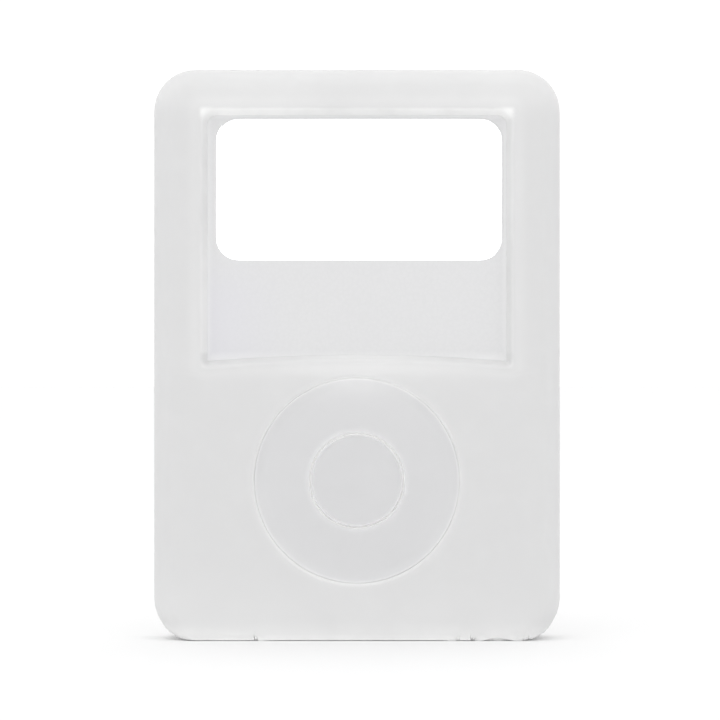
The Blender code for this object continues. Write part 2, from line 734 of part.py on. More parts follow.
def make_mid_frame():
    """A wall round the inside of the housing, with a web behind the wheel that carries both boards."""
    inset = REAR_WALL + FIT
    frame = shell_slab("mid_frame", inset, (FRAME_FRONT, FRAME_BACK), frame_metal())
    bay = shell_slab("frame_bay", inset + FRAME_WALL, (FRAME_FRONT - PAST, FRAME_BACK + PAST))
    cut(frame, bay)
    reach = FRAME_WALL / 2
    web_x = (-HALF_BAY - reach, HALF_BAY + reach)
    web_z = (BAY_BOTTOM - reach, WEB_TOP)
    web = slab("frame_web", web_x, (WEB_FRONT, WEB_BACK), web_z, BOARD_CORNER + reach)
    join(frame, web)
    post_x = RING_OUTSIDE + RING_LUG_LENGTH - RING_LUG_WIDTH / 2
    for side in (-1, 1):
        x = (side * post_x - RING_LUG_WIDTH / 2, side * post_x + RING_LUG_WIDTH / 2)
        z = (WHEEL_Z - RING_LUG_WIDTH / 2, WHEEL_Z + RING_LUG_WIDTH / 2)
        y = (RING_BACK + FIT, middle((WEB_FRONT, WEB_BACK)))
        join(frame, block(f"frame_post_{side + 2}", x, y, z))
    for number, (x, z) in enumerate(SCREW_PLACES, 1):
        boss = across(f"frame_boss_{number}", SCREW_BOSS, x, z, (WEB_FRONT - 1.0, WEB_BACK - 0.1))
        join(frame, boss)
        hole = (WEB_FRONT - 1.0 - PAST, WEB_BACK + PAST)
        cut(frame, across(f"frame_screw_hole_{number}", SCREW_SHANK + FIT, x, z, hole))
    half_dock = DOCK_WIDTH / 2 + RUNNING_GAP
    depth = (FRAME_FRONT - PAST, FRAME_BACK + PAST)
    dock_z = (FRAME_BOTTOM - PAST, DOCK_TOP + RUNNING_GAP)
    dock = block("frame_dock_notch", (-half_dock, half_dock), depth, dock_z)
    half_jack = JACK_WIDTH / 2 + RUNNING_GAP
    jack_x = (JACK_X - half_jack, JACK_X + half_jack)
    jack_z = (FRAME_BOTTOM - PAST, JACK_TOP + RUNNING_GAP)
    jack = block("frame_jack_notch", jack_x, depth, jack_z)
    hold_half = hold_plate_half() + HOLD_TRAVEL / 2 + RUNNING_GAP
    hold_x = (HOLD_X - hold_half, HOLD_X + hold_half)
    hold_front = HOLD_Y - HOLD_KNOB_DEPTH / 2 - HOLD_PLATE_RIM - RUNNING_GAP
    hold_z = (BATTERY_TOP, FRAME_TOP + PAST)
    hold = block("frame_hold_notch", hold_x, (hold_front, FRAME_BACK + PAST), hold_z)
    cut(frame, dock, jack, hold)


# ---------------------------------------------------------------- display


def make_display():
    lit_x, lit_z = display_bounds(-LENS_GAP)
    lens_y = (PLAYER_FRONT + 0.05, COVER_BACK)
    lens_outline = rounded_outline(lit_x, lit_z, DISPLAY_CORNER - LENS_GAP)
    flat_piece("display_lens", lens_outline, lens_y, clear_lens())

    rim_x, rim_z = display_bounds(GASKET_RIM)
    gasket_y = (GASKET_FRONT, GASKET_FRONT + GASKET_THICKNESS)
    gasket = slab("display_gasket", rim_x, gasket_y, rim_z, GASKET_RIM, foam())
    clear_x, clear_z = display_bounds(LENS_GAP)
    past = (GASKET_FRONT - PAST, GASKET_FRONT + GASKET_THICKNESS + PAST)
    cut(gasket, flat_piece("gasket_opening", rounded_outline(clear_x, clear_z, DISPLAY_CORNER), past))

    glass_x = (DISPLAY_OFFSET - HALF_GLASS, DISPLAY_OFFSET + HALF_GLASS)
    glass_z = (GLASS_BOTTOM, GLASS_TOP)
    glass = block("lcd_panel", glass_x, (GLASS_FRONT, GLASS_BACK), glass_z, display_glass())
    ledge_x = (glass_x[0] - PAST, glass_x[1] + PAST)
    ledge_y = (GLASS_FRONT - PAST, GLASS_FRONT + GLASS_THICKNESS / 2)
    ledge_z = (GLASS_BOTTOM - PAST, GLASS_BOTTOM + GLASS_FOOT - GASKET_RIM)
    cut(glass, block("lcd_ledge", ledge_x, ledge_y, ledge_z))

    guide_x = (glass_x[0] + TRAY_WALL, glass_x[1] - TRAY_WALL)
    strip_z = (GLASS_BOTTOM + 0.2, GLASS_BOTTOM + 1.4)
    guide_z = (strip_z[1] + FIT, GLASS_TOP - 0.2)
    guide_y = (GUIDE_FRONT, GUIDE_BACK)
    acrylic = material("light_guide", (0.9, 0.92, 0.94), 0.1)
    block("light_guide", guide_x, guide_y, guide_z, acrylic, 0.05)
    strip_x = (glass_x[0] + 5.0, glass_x[1] - 5.0)
    block("backlight_strip", strip_x, guide_y, strip_z, white_plastic(), 0.05)

    tray_x = (glass_x[0] - FIT - TRAY_WALL, glass_x[1] + FIT + TRAY_WALL)
    tray_z = (GLASS_BOTTOM - FIT - TRAY_WALL, GLASS_TOP + FIT + TRAY_WALL)
    tray = block("display_tray", tray_x, (TRAY_FRONT, TRAY_BACK), tray_z, spring_steel())
    inside_x = (tray_x[0] + TRAY_WALL, tray_x[1] - TRAY_WALL)
    inside_z = (tray_z[0] + TRAY_WALL, tray_z[1] - TRAY_WALL)
    cut(tray, block("tray_hollow", inside_x, (TRAY_FRONT - PAST, TRAY_FLOOR), inside_z))
    mouth_x = (DISPLAY_FLEX_X[0] - RUNNING_GAP, DISPLAY_FLEX_X[1] + RUNNING_GAP)
    mouth_z = (tray_z[0] - PAST, inside_z[0] + FIT / 2)
    cut(tray, block("tray_flex_mouth", mouth_x, (TRAY_FRONT - PAST, TRAY_FLOOR), mouth_z))


def make_display_flex():
    """The display's flat cable: down from the glass, in front of the battery, then over the board."""
    start = (GLASS_FRONT + GLASS_THICKNESS * 0.75, GLASS_BOTTOM - FIT)
    lane = BATTERY_FRONT - 0.35
    back = CHIP_FRONT + CONNECTOR_THICKNESS / 2
    over = BOARD_TOP + FLEX_RISE
    points = (
        start,
        (start[0], start[1] - 0.8),
        (lane, start[1] - 2.4),
        (lane, over + 1.6),
        (lane + 0.7, over + 0.4),
        (middle((lane, back)) + 0.4, over),
        (back, over - 0.6),
        (back, CONNECTOR_Z + CONNECTOR_HEIGHT + FIT),
    )
    ribbon("display_flex", points, DISPLAY_FLEX_X, FLEX_THICKNESS, flex_film())


def make_connector(name, cable):
    """A low socket on the main board for a cable that spans cable on X, with a step along its foot."""
    x = (cable[0] - SOCKET_MARGIN, cable[1] + SOCKET_MARGIN)
    y = (CHIP_FRONT, CHIP_FRONT + CONNECTOR_THICKNESS)
    z = (CONNECTOR_Z, CONNECTOR_Z + CONNECTOR_HEIGHT)
    body = block(name, x, y, z, material("connector_resin", (0.75, 0.72, 0.62), 0.5))
    relief = (x[0] + 0.6, x[1] - 0.6)
    cut(body, block(name + "_relief", relief, (y[1] - 0.35, y[1] + PAST), (z[0] - PAST, z[0] + 1.2)))


# ---------------------------------------------------------------- wheel and button


def wheel_places():
    """Where the wheel's four feet press: up, right, down, left."""
    return {
        "up": (0.0, WHEEL_Z + PRESS_RADIUS),
        "right": (PRESS_RADIUS, WHEEL_Z),
        "down": (0.0, WHEEL_Z - PRESS_RADIUS),
        "left": (-PRESS_RADIUS, WHEEL_Z),
    }


def make_click_wheel():
    """The wheel's cap, with four plungers and the two feet that rest on the rocker ring."""
    inside, outside = BUTTON_RADIUS + WHEEL_RIM_GAP, WHEEL_RADIUS - WHEEL_RIM_GAP
    section = ring_profile(inside, outside, WHEEL_THICKNESS, CAP_CHAMFER)
    wheel = turned("click_wheel", section, (0.0, WHEEL_BACK, WHEEL_Z), white_plastic(), ROUND_STEPS)
    root = WHEEL_BACK - WHEEL_THICKNESS / 2
    for name, (x, z) in wheel_places().items():
        join(wheel, across(f"plunger_{name}", PLUNGER_RADIUS, x, z, (root, PLUNGER_TIP), None, 12))
    foot_radius = (RING_INSIDE + RING_OUTSIDE) / 2
    for side in (-1, 1):
        z = WHEEL_Z + side * foot_radius
        foot = block(f"wheel_foot_{side + 2}", (-0.8, 0.8), (root, RING_FRONT - FIT), (z - 0.5, z + 0.5))
        join(wheel, foot)


def make_sensor_board():
    """The ring-shaped touch sensor behind the wheel, with holes for the plungers."""
    board = across(
        "wheel_sensor_board", SENSOR_RADIUS, 0, WHEEL_Z, (SENSOR_FRONT, SENSOR_BACK), board_resin(), 40
    )
    depth = (SENSOR_FRONT - PAST, SENSOR_BACK + PAST)
    cut(board, across("sensor_centre_hole", SENSOR_HOLE, 0, WHEEL_Z, depth, None, 36))
    for name, (x, z) in wheel_places().items():
        cut(board, across(f"sensor_hole_{name}", PLUNGER_RADIUS + FIT, x, z, depth, None, 12))


def make_rocker_ring():
    """A stamped ring that rocks on lugs at its sides and lets the wheel rock the other way on it."""
    section = ring_profile(RING_INSIDE, RING_OUTSIDE, RING_THICKNESS)
    centre = (0.0, RING_BACK, WHEEL_Z)
    ring = turned("rocker_ring", section, centre, spring_steel(), ROUND_STEPS)
    middle_radius = (RING_INSIDE + RING_OUTSIDE) / 2
    for side in (-1, 1):
        ends = sorted((side * middle_radius, side * (RING_OUTSIDE + RING_LUG_LENGTH)))
        z = (WHEEL_Z - RING_LUG_WIDTH / 2, WHEEL_Z + RING_LUG_WIDTH / 2)
        depth = (RING_FRONT + 0.02, RING_BACK - 0.02)
        join(ring, block(f"ring_lug_{side + 2}", ends, depth, z))


def make_centre_button():
    """The centre button's cap and its stem, which ends over the middle snap dome."""
    cap = WHEEL_THICKNESS
    stem = WHEEL_BACK - PLUNGER_TIP
    radius = BUTTON_RADIUS - WHEEL_RIM_GAP
    profile = (
        (0.0, cap),
        (radius - CAP_CHAMFER, cap),
        (radius, cap - CAP_CHAMFER),
        (radius, 0.0),
        (STEM_RADIUS, 0.0),
        (STEM_RADIUS - STEM_TAPER, stem),
        (0.0, stem),
    )
    turned("centre_button", profile, (0.0, WHEEL_BACK, WHEEL_Z), white_plastic(), 36)


def make_switch_board():
    """The fixed round board with its tab, and a snap dome under each plunger."""
    depth = (SWITCH_BOARD_FRONT, SWITCH_BOARD_BACK)
    board = across("switch_board", SWITCH_BOARD_RADIUS, 0, WHEEL_Z, depth, board_resin(), 40)
    half = SWITCH_TAB_WIDTH / 2
    tab_x = (middle(SWITCH_FLEX_X) - half, middle(SWITCH_FLEX_X) + half)
    top = WHEEL_Z + SWITCH_BOARD_RADIUS + SWITCH_TAB_RISE
    inner = (SWITCH_BOARD_FRONT + 0.02, SWITCH_BOARD_BACK - 0.02)
    join(board, block("switch_board_tab", tab_x, inner, (WHEEL_Z + PRESS_RADIUS, top)))
    places = {**wheel_places(), "centre": (0.0, WHEEL_Z)}
    for name, (x, z) in places.items():
        profile = (
            (0.0, DOME_HEIGHT),
            (DOME_RADIUS * 0.35, DOME_HEIGHT * 0.94),
            (DOME_RADIUS * 0.7, DOME_HEIGHT * 0.72),
            (DOME_RADIUS, DOME_HEIGHT * 0.35),
            (DOME_RADIUS, 0.0),
            (0.0, 0.0),
        )
        turned(f"snap_dome_{name}", profile, (x, DOME_BACK, z), spring_steel(), 16)


def make_switch_flex():
    """The switch board's flat cable, over the top of the web and the main board."""
    lane = middle((SWITCH_BOARD_FRONT, SWITCH_BOARD_BACK))
    back = CHIP_FRONT + CONNECTOR_THICKNESS / 2
    over = BOARD_TOP + FLEX_RISE
    start = WHEEL_Z + SWITCH_BOARD_RADIUS + SWITCH_TAB_RISE + FIT
    points = (
        (lane, start),
        (lane, over - 0.6),
        (lane + 0.5, over - 0.1),
        (middle((lane, back)), over),
        (back - 0.4, over - 0.2),
        (back, over - 0.8),
        (back, CONNECTOR_Z + CONNECTOR_HEIGHT + FIT),
    )
    ribbon("switch_flex", points, SWITCH_FLEX_X, FLEX_THICKNESS, flex_film())


def make_sensor_tail():
    """The loop of flat cable between the moving sensor board and the fixed switch board."""
    high = WHEEL_Z + SENSOR_HOLE - 0.5
    clear = SENSOR_TAIL_GAP + FLEX_THICKNESS / 2
    front, back = SENSOR_BACK + clear, SWITCH_BOARD_FRONT - clear
    low = high - SENSOR_TAIL_DROP
    bend = middle((high, low))
    points = ((front, high), (front, bend), (middle((front, back)), low), (back, bend), (back, high))
    ribbon("sensor_tail", points, SENSOR_TAIL_X, FLEX_THICKNESS, flex_film())


# ---------------------------------------------------------------- main board and battery


def make_main_board():
    x = (-HALF_BOARD, HALF_BOARD)
    y = (BOARD_FRONT, BOARD_BACK)
    board = slab("main_board", x, y, (BOARD_BOTTOM, BOARD_TOP), BOARD_CORNER, board_resin(), steps=4)
    depth = (BOARD_FRONT - PAST, BOARD_BACK + PAST)
    half_dock = DOCK_WIDTH / 2 + RUNNING_GAP
    dock_z = (BOARD_BOTTOM - PAST, DOCK_TOP + RUNNING_GAP)
    cut(board, block("board_dock_notch", (-half_dock, half_dock), depth, dock_z))
    half_jack = JACK_WIDTH / 2 + RUNNING_GAP
    jack_x = (JACK_X - half_jack, JACK_X + half_jack)
    jack_z = (BOARD_BOTTOM - PAST, JACK_TOP + RUNNING_GAP)
    cut(board, block("board_jack_notch", jack_x, depth, jack_z))
    for number, (x, z) in enumerate(SCREW_PLACES, 1):
        cut(board, across(f"board_screw_hole_{number}", SCREW_SHANK + FIT, x, z, depth))


def chip(name, x, z, width, height, thickness, finish, bevel=0.1):
    """A component on the back of the main board, given by its lower left corner."""
    y = (CHIP_FRONT, CHIP_FRONT + thickness)
    return block(name, (x, x + width), y, (z, z + height), finish, bevel)


def make_components():
    """Components, placed from the board's sides, from the sockets above them and from the jack below."""
    left = -HALF_BOARD
    right = HALF_BOARD
    under = CONNECTOR_Z
    chip("processor_chip", left + 10.3, under - 10.7, 9.0, 8.2, TALLEST_PART, chip_resin())
    chip("memory_chip", left + 10.3, under - 18.2, 9.0, 6.3, 0.8, chip_resin())
    chip("flash_chip", right - 23.3, under - 16.9, 12.0, 14.2, TALLEST_PART, chip_resin())
    chip("power_chip", right - 9.6, under - 6.8, 5.0, 5.0, 0.8, chip_resin())
    chip("audio_chip", right - 9.6, JACK_TOP + 1.4, 5.0, 5.0, 0.8, chip_resin())
    coil = material("coil_ferrite", (0.12, 0.12, 0.13), 0.7)
    chip("power_inductor", left + 4.0, under - 9.0, 3.4, 3.4, TALLEST_PART, coil, 0.3)
    can = material("crystal_can", (0.75, 0.74, 0.70), 0.25, 1.0)
    chip("clock_crystal", left + 4.0, under - 13.4, 3.4, 1.8, 0.7, can, 0.15)
    tantalum = material("tantalum", (0.70, 0.38, 0.06), 0.5)
    chip("tantalum_capacitor", left + 4.0, under - 18.4, 3.6, 2.4, TALLEST_PART, tantalum, 0.15)
    make_connector("display_connector", DISPLAY_FLEX_X)
    make_connector("switch_connector", SWITCH_FLEX_X)
    make_connector("battery_connector", WIRE_X)
    cover_front = CHIP_FRONT + TALLEST_PART + FIT
    cover_y = (cover_front, cover_front + INSULATOR_THICKNESS)
    cover_x = (-HALF_BOARD + 1.0, HALF_BOARD - 1.0)
    film = material("insulating_film", (0.10, 0.10, 0.11), 0.4)
    slab("board_insulator", cover_x, cover_y, (JACK_TOP + 1.0, BOARD_TOP - 1.0), 1.5, film, steps=3)


def make_battery():
    cell_z = (BATTERY_BOTTOM, BATTERY_TOP)
    cell_y = (BATTERY_FRONT, BATTERY_BACK)
    cell_x = (-HALF_BATTERY, HALF_BATTERY)
    slab("battery_cell", cell_x, cell_y, cell_z, 1.2, battery_foil(), BATTERY_EDGE, BATTERY_EDGE, steps=4)
    width, depth, height = BATTERY_BOARD_SIZE
    board_x = (HALF_BATTERY - width, HALF_BATTERY)
    board_y = (middle(cell_y) - depth / 2, middle(cell_y) + depth / 2)
    board_z = (BATTERY_BOTTOM - FIT - height, BATTERY_BOTTOM - FIT)
    block("battery_board", board_x, board_y, board_z, board_resin(), 0.1)
    foam_y = (BATTERY_BACK + FIT, BATTERY_BACK + FIT + BATTERY_FOAM)
    foam_x = (cell_x[0] + 4.0, cell_x[1] - 4.0)
    foam_z = (cell_z[0] + 4.0, cell_z[1] - 4.0)
    slab("battery_foam", foam_x, foam_y, foam_z, 1.0, foam(), steps=3)
    socket = CONNECTOR_Z + CONNECTOR_HEIGHT + FIT
    level = board_z[0] - FIT
    back = CHIP_FRONT + CONNECTOR_THICKNESS / 2
    for name, socket_x, board_end, colour in (
        ("battery_wire_negative", WIRE_X[0], board_x[0] + 3.2, (0.02, 0.02, 0.02)),
        ("battery_wire_positive", WIRE_X[1], board_x[0] + 5.6, (0.55, 0.03, 0.02)),
    ):
        start = (board_end, middle(board_y), level)
        drop = (board_end, middle(board_y) + 0.1, level - 0.5)
        turn = (middle((board_end, socket_x)), back, middle((level, socket)) - 0.1)
        rise = (socket_x, back, socket + 0.5)
        end = (socket_x, back, socket)
        wire(name, (start, drop, turn, rise, end), WIRE_DIAMETER, material(name, colour, 0.5))


# ---------------------------------------------------------------- ports, switch and screws


def make_dock_connector():
    half = DOCK_WIDTH / 2
    y = (DOCK_Y - DOCK_THICKNESS / 2, DOCK_Y + DOCK_THICKNESS / 2)
    shell = block("dock_shell", (-half, half), y, (DOCK_BOTTOM, DOCK_TOP), spring_steel())
    half_mouth = DOCK_MOUTH_WIDTH / 2
    mouth_y = (DOCK_Y - DOCK_MOUTH_DEPTH / 2, DOCK_Y + DOCK_MOUTH_DEPTH / 2)
    ceiling = DOCK_TOP - 2 * DOCK_WALL
    cut(shell, block("dock_mouth", (-half_mouth, half_mouth), mouth_y, (DOCK_BOTTOM - PAST, ceiling)))

    bar_x = (-half_mouth + FIT, half_mouth - FIT)
    tongue_y = (DOCK_Y - 0.2, DOCK_Y + 0.5)
    bar_y = (tongue_y[0] - 0.1, mouth_y[1] - FIT)
    tongue = block("dock_tongue", bar_x, bar_y, (ceiling - FIT - 1.0, ceiling - FIT), black_plastic())
    blade_x = (bar_x[0] + 1.6, bar_x[1] - 1.6)
    join(tongue, block("dock_blade", blade_x, tongue_y, (DOCK_BOTTOM + 0.5, ceiling - FIT - 0.5)))

    root = ceiling - FIT - 1.2
    tip = DOCK_BOTTOM + 0.9
    first = -(DOCK_CONTACTS - 1) / 2 * DOCK_PITCH
    outline = [(first - 0.25, root)]
    for number in range(DOCK_CONTACTS):
        x = first + number * DOCK_PITCH
        outline += [(x - 0.25, root - 0.4), (x - 0.25, tip), (x + 0.25, tip), (x + 0.25, root - 0.4)]
    outline.append((-first + 0.25, root))
    outline = [outline[0], *outline[2:-2], outline[-1]]
    contact_y = (tongue_y[0] - FIT - 0.2, tongue_y[0] - FIT)
    flat_piece("dock_contacts", outline, contact_y, gold_contact())


def make_headphone_jack():
    half = JACK_WIDTH / 2
    x = (JACK_X - half, JACK_X + half)
    y = (JACK_Y - JACK_THICKNESS / 2, JACK_Y + JACK_THICKNESS / 2)
    body = block("headphone_jack", x, y, (JACK_BOTTOM, JACK_TOP), black_plastic(), 0.2)
    bore_end = JACK_TOP - 0.8
    bore_start = JACK_BOTTOM - PAST
    cut(body, rod("jack_bore", JACK_BORE, (JACK_X, JACK_Y, bore_start), (JACK_X, JACK_Y, bore_end)))
    springs = (("jack_tip_spring", -1, 6.0, 10.6), ("jack_ground_spring", 1, 1.6, 6.2))
    for name, side, low, high in springs:
        face = JACK_X + side * half
        groove_x = sorted((face - side * SPRING_GROOVE, face + side * PAST))
        z = (JACK_BOTTOM + low, JACK_BOTTOM + high)
        cut(body, block(name + "_groove", groove_x, (JACK_Y - 0.75, JACK_Y + 0.75), z))
        inner = face - side * (SPRING_GROOVE - FIT)
        strip_x = sorted((inner, inner + side * SPRING_THICKNESS))
        strip_z = (z[0] + FIT, z[1] - FIT)
        block(name, strip_x, (JACK_Y - 0.6, JACK_Y + 0.6), strip_z, gold_contact(), 0.05)
    bezel_depth = INSIDE_BOTTOM - PLAYER_BOTTOM
    section = ring_profile(JACK_BORE + 0.05, BEZEL_RADIUS, bezel_depth, 0.1)
    centre = (JACK_X, JACK_Y, INSIDE_BOTTOM)
    turned("jack_bezel", section, centre, polished_steel(), 28, towards_front=False)


def hold_plate_half():
    return HOLD_KNOB_LENGTH / 2 + HOLD_PLATE_OVERHANG


def make_hold_switch():
    """The slider, at the left end of its slot, with the switch that it works and the warning marker."""
    rest_x = HOLD_SLOT_LEFT + FIT + HOLD_KNOB_LENGTH / 2
    knob_x = (rest_x - HOLD_KNOB_LENGTH / 2, rest_x + HOLD_KNOB_LENGTH / 2)
    knob_y = (HOLD_Y - HOLD_KNOB_DEPTH / 2, HOLD_Y + HOLD_KNOB_DEPTH / 2)
    plate_z = (INSIDE_TOP - FIT - HOLD_PLATE, INSIDE_TOP - FIT)
    plate_x = (rest_x - hold_plate_half(), rest_x + hold_plate_half())
    plate_y = (knob_y[0] - HOLD_PLATE_RIM, knob_y[1] + HOLD_PLATE_RIM)
    top = PLAYER_TOP + HOLD_PROUD
    slider = block("hold_slider", knob_x, knob_y, (middle(plate_z), top), white_plastic())
    join(slider, block("hold_plate", plate_x, plate_y, plate_z))
    for number in range(3):
        x = rest_x + (number - 1) * 1.3
        groove_y = (knob_y[0] - PAST, knob_y[1] + PAST)
        groove = block(f"hold_groove_{number}", (x - 0.2, x + 0.2), groove_y, (top - 0.18, top + PAST))
        cut(slider, groove)
    actuator_z = (plate_z[0] - FIT - HOLD_ACTUATOR, plate_z[0] - FIT)
    actuator_x = (rest_x - 0.8, rest_x + 0.8)
    block("hold_actuator", actuator_x, (HOLD_Y - 0.5, HOLD_Y + 0.5), actuator_z, black_plastic(), 0.1)
    base_z = (actuator_z[0] - FIT - HOLD_BASE_HEIGHT, actuator_z[0] - FIT)
    base_half = HOLD_KNOB_LENGTH / 2 + 1.0
    base_x = (HOLD_X - base_half, HOLD_X + base_half)
    block("hold_switch_base", base_x, plate_y, base_z, spring_steel(), 0.1)
    marker_x = (HOLD_X - base_half, HOLD_X - base_half + HOLD_TRAVEL)
    marker_z = (base_z[1] + FIT, base_z[1] + FIT + 0.1)
    warning = material("hold_warning", (0.85, 0.25, 0.03), 0.5)
    block("hold_marker", marker_x, (HOLD_Y - 0.7, HOLD_Y + 0.7), marker_z, warning)


def make_screws():
    """Four cross-head screws that hold the main board to the frame's bosses."""
    for number, (x, z) in enumerate(SCREW_PLACES, 1):
        seat = BOARD_BACK + FIT
        top = SCREW_HEAD_HEIGHT
        profile = (
            (0.0, -SCREW_LENGTH),
            (SCREW_SHANK * 0.6, -SCREW_LENGTH),
            (SCREW_SHANK, -SCREW_LENGTH + 0.3),
            (SCREW_SHANK, 0.0),
            (SCREW_HEAD, 0.0),
            (SCREW_HEAD, top - 0.15),
            (SCREW_HEAD - 0.15, top),
            (0.0, top),
        )
        # Heights point to the front here, so the profile is turned over to put the head at the back.
        over = tuple((radius, -height) for radius, height in profile)
        screw = turned(f"frame_screw_{number}", over, (x, seat, z), spring_steel(), 16)
        back = (seat + top - 0.22, seat + top + PAST)
        for side, (half_x, half_z) in enumerate(((0.6, 0.13), (0.13, 0.6))):
            slot_x = (x - half_x, x + half_x)
            slot_z = (z - half_z, z + half_z)
            cut(screw, block(f"screw_{number}_slot_{side}", slot_x, back, slot_z))


# ---------------------------------------------------------------- build


def hang(name, centre, pieces):
    """Parents moving pieces to an empty that stands on their joint's axis."""
    pivot = bpy.data.objects.new(name, None)
    pivot.empty_display_size = 2 * MM
    pivot.location = Vector(centre) * MM
    parts.objects.link(pivot)
    for piece in pieces:
        moving = bpy.data.objects[piece]
        moving.parent = pivot
        moving.matrix_parent_inverse = Matrix.Translation(-pivot.location)


def hang_moving_pieces():
    on_wheel_axis = (0.0, middle((RING_FRONT, RING_BACK)), WHEEL_Z)
    hang("rocker_pivot", on_wheel_axis, ["rocker_ring"])
    hang("wheel_pivot", on_wheel_axis, ["click_wheel", "wheel_sensor_board", "sleeve_wheel_pad"])
    hang("button_guide", (0.0, WHEEL_BACK, WHEEL_Z), ["centre_button", "sleeve_button_pad"])
    hang("hold_guide", (HOLD_X, HOLD_Y, INSIDE_TOP), ["hold_slider", "hold_actuator"])


def main():
    global parts, cutters
    clear_scene()
    parts = new_collection("Digital audio player")
    cutters = new_collection("Cutters")
    make_sleeve()
    make_sleeve_pads()
    make_front_cover()
    make_rear_cover()
    make_mid_frame()
    make_display()
    make_display_flex()
    make_click_wheel()
    make_sensor_board()
    make_rocker_ring()
    make_centre_button()
    make_switch_board()
    make_switch_flex()
    make_sensor_tail()
    make_main_board()
    make_components()
    make_battery()
    make_dock_connector()
    make_headphone_jack()
    make_hold_switch()
    make_screws()
    hang_moving_pieces()


main()
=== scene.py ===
import math

import bmesh
import bpy
import numpy as np
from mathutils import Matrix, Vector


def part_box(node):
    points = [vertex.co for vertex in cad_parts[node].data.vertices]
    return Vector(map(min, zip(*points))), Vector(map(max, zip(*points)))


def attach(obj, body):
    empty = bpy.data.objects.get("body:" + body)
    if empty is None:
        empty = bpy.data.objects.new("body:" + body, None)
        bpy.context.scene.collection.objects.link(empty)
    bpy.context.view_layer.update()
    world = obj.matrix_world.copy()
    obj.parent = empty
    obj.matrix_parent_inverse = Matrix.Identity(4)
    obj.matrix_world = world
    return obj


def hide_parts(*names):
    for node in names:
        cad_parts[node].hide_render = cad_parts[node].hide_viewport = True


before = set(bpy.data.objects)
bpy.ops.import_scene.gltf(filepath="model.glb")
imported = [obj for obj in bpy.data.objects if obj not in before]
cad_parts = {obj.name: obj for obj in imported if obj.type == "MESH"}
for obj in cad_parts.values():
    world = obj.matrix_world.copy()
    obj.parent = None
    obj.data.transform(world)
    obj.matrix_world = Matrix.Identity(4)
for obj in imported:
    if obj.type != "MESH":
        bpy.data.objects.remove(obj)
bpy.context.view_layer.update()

MM = 0.001

# Sleeve: its skin, its rounded edges and the ridge of skin between window and wheel
EDGE_RADIUS = 2.6 * MM
CORNER_RADIUS = 5.8 * MM
SKIN = 1.5 * MM
SETTLED_POWER = 16
BRIDGE = 1.85 * MM
BRIDGE_SINK = 0.95 * MM
BRIDGE_SLOPE = 2.5 * MM
BRIDGE_REACH = 10.5 * MM

# Window: its rims round the screen, its corners, its leaning wall and its arched lower edge
WINDOW_SIDE_RIM = 1.4 * MM
WINDOW_TOP_RIM = 0.9 * MM
WINDOW_CORNER = 1.8 * MM
WINDOW_FOOT_CORNER = 0.75 * MM
WINDOW_SLOPE = 0.55 * MM
WINDOW_LIP = 0.8 * MM
WINDOW_LIP_TURN = 65
WINDOW_RISE = 0.9 * MM

# Other openings, and the stretch of edge left free round each port
BACK_LIP = 0.5 * MM
WHEEL_LIP = 0.6 * MM
INNER_FLARE = 0.35 * MM
PORT_CORNER = 0.9 * MM
PORT_LIP = 0.35 * MM
PORT_MARGIN = 1.2 * MM
DOCK_HALF_OPENING = (12.95 * MM, 2.4 * MM)
HOLD_HALF_OPENING = (5.85 * MM, 2.2 * MM)
JACK_OPENING_RADIUS = 3.2 * MM
JACK_BORE_RADIUS = 1.8 * MM

# Cover over the screen
LENS_GAP = 0.1 * MM
LENS_FIT = 0.02 * MM
LENS_BORDER = 0.12 * MM
LENS_SOFT = 0.03 * MM
SCREEN_CORNER = 3.1 * MM
COVER_COLOUR = (0.71, 0.71, 0.716)

# Skin over the wheel and the button, which moves with them
PAD_GROWTH = 0.12 * MM
PAD_OVERLAP = 0.04 * MM
PAD_RIM_RISE = 0.36 * MM
PAD_RIM_WIDTH = 1.5 * MM
PAD_LIP = 0.06 * MM
BUTTON_BEAD = 0.13 * MM
BUTTON_BEAD_WIDTH = 0.11 * MM
BUTTON_BEAD_INSET = 0.11 * MM
BUTTON_GAP = 0.21 * MM
BUTTON_FLANGE = 0.5 * MM
BUTTON_DISH = 0.06 * MM
FLANGE_TOP = 0.31 * MM
FLANGE_BACK = 0.64 * MM
FLANGE_ROOM = 0.2 * MM

# Milky rubber: the sleeve's and the pads' dark colour, the painted light colour laid over it where light
# or shade is painted, and the colour and emission strength of a painted glow on thin edges and crevices
SLEEVE_DARK = (0.67, 0.67, 0.672)
SLEEVE_PAINTED_LIGHT = (0.93, 0.93, 0.925)
PAD_DARK = (0.64, 0.64, 0.647)
PAD_PAINTED_LIGHT = (0.93, 0.93, 0.93)
PAINTED_GLOW_COLOUR = (0.99, 0.99, 0.985)
PAINTED_GLOW_STRENGTH = 0.05

# Studio
SURROUND_STRENGTH = 1.11
LAMP_SIZE = 0.5
LAMP_POWER = 0.4
LAMP_PLACE = (-0.12, -0.25, 0.72)
LAMP_AIM = (0.12, 0.25, -0.68)
CAMERA_DISTANCE = 0.42
CAMERA_ACROSS = 0.42 * MM
CAMERA_HEIGHT = 38.56 * MM
VIEW_WIDTH = 99.34 * MM
SENSOR_WIDTH = 36.0

ROUND_TRIP = ("top", "left", "bottom", "right")


def corners(node):
    """A node's low and high corners at rest as arrays."""
    low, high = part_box(node)
    return np.array(low), np.array(high)


def middle(node):
    """The middle of a node's box at rest."""
    low, high = corners(node)
    return (low + high) / 2


# ---------------------------------------------------------------- outlines


def corner(centre, radius, start, end, steps=160):
    """Rows of x, z and the outward normal on an arc from start to end: centre + radius (cos a, sin a)."""
    turn = np.radians(np.linspace(start, end, steps + 1))
    out = np.stack([np.cos(turn), np.sin(turn)], 1)
    return np.hstack([np.array(centre) + radius * out, out])


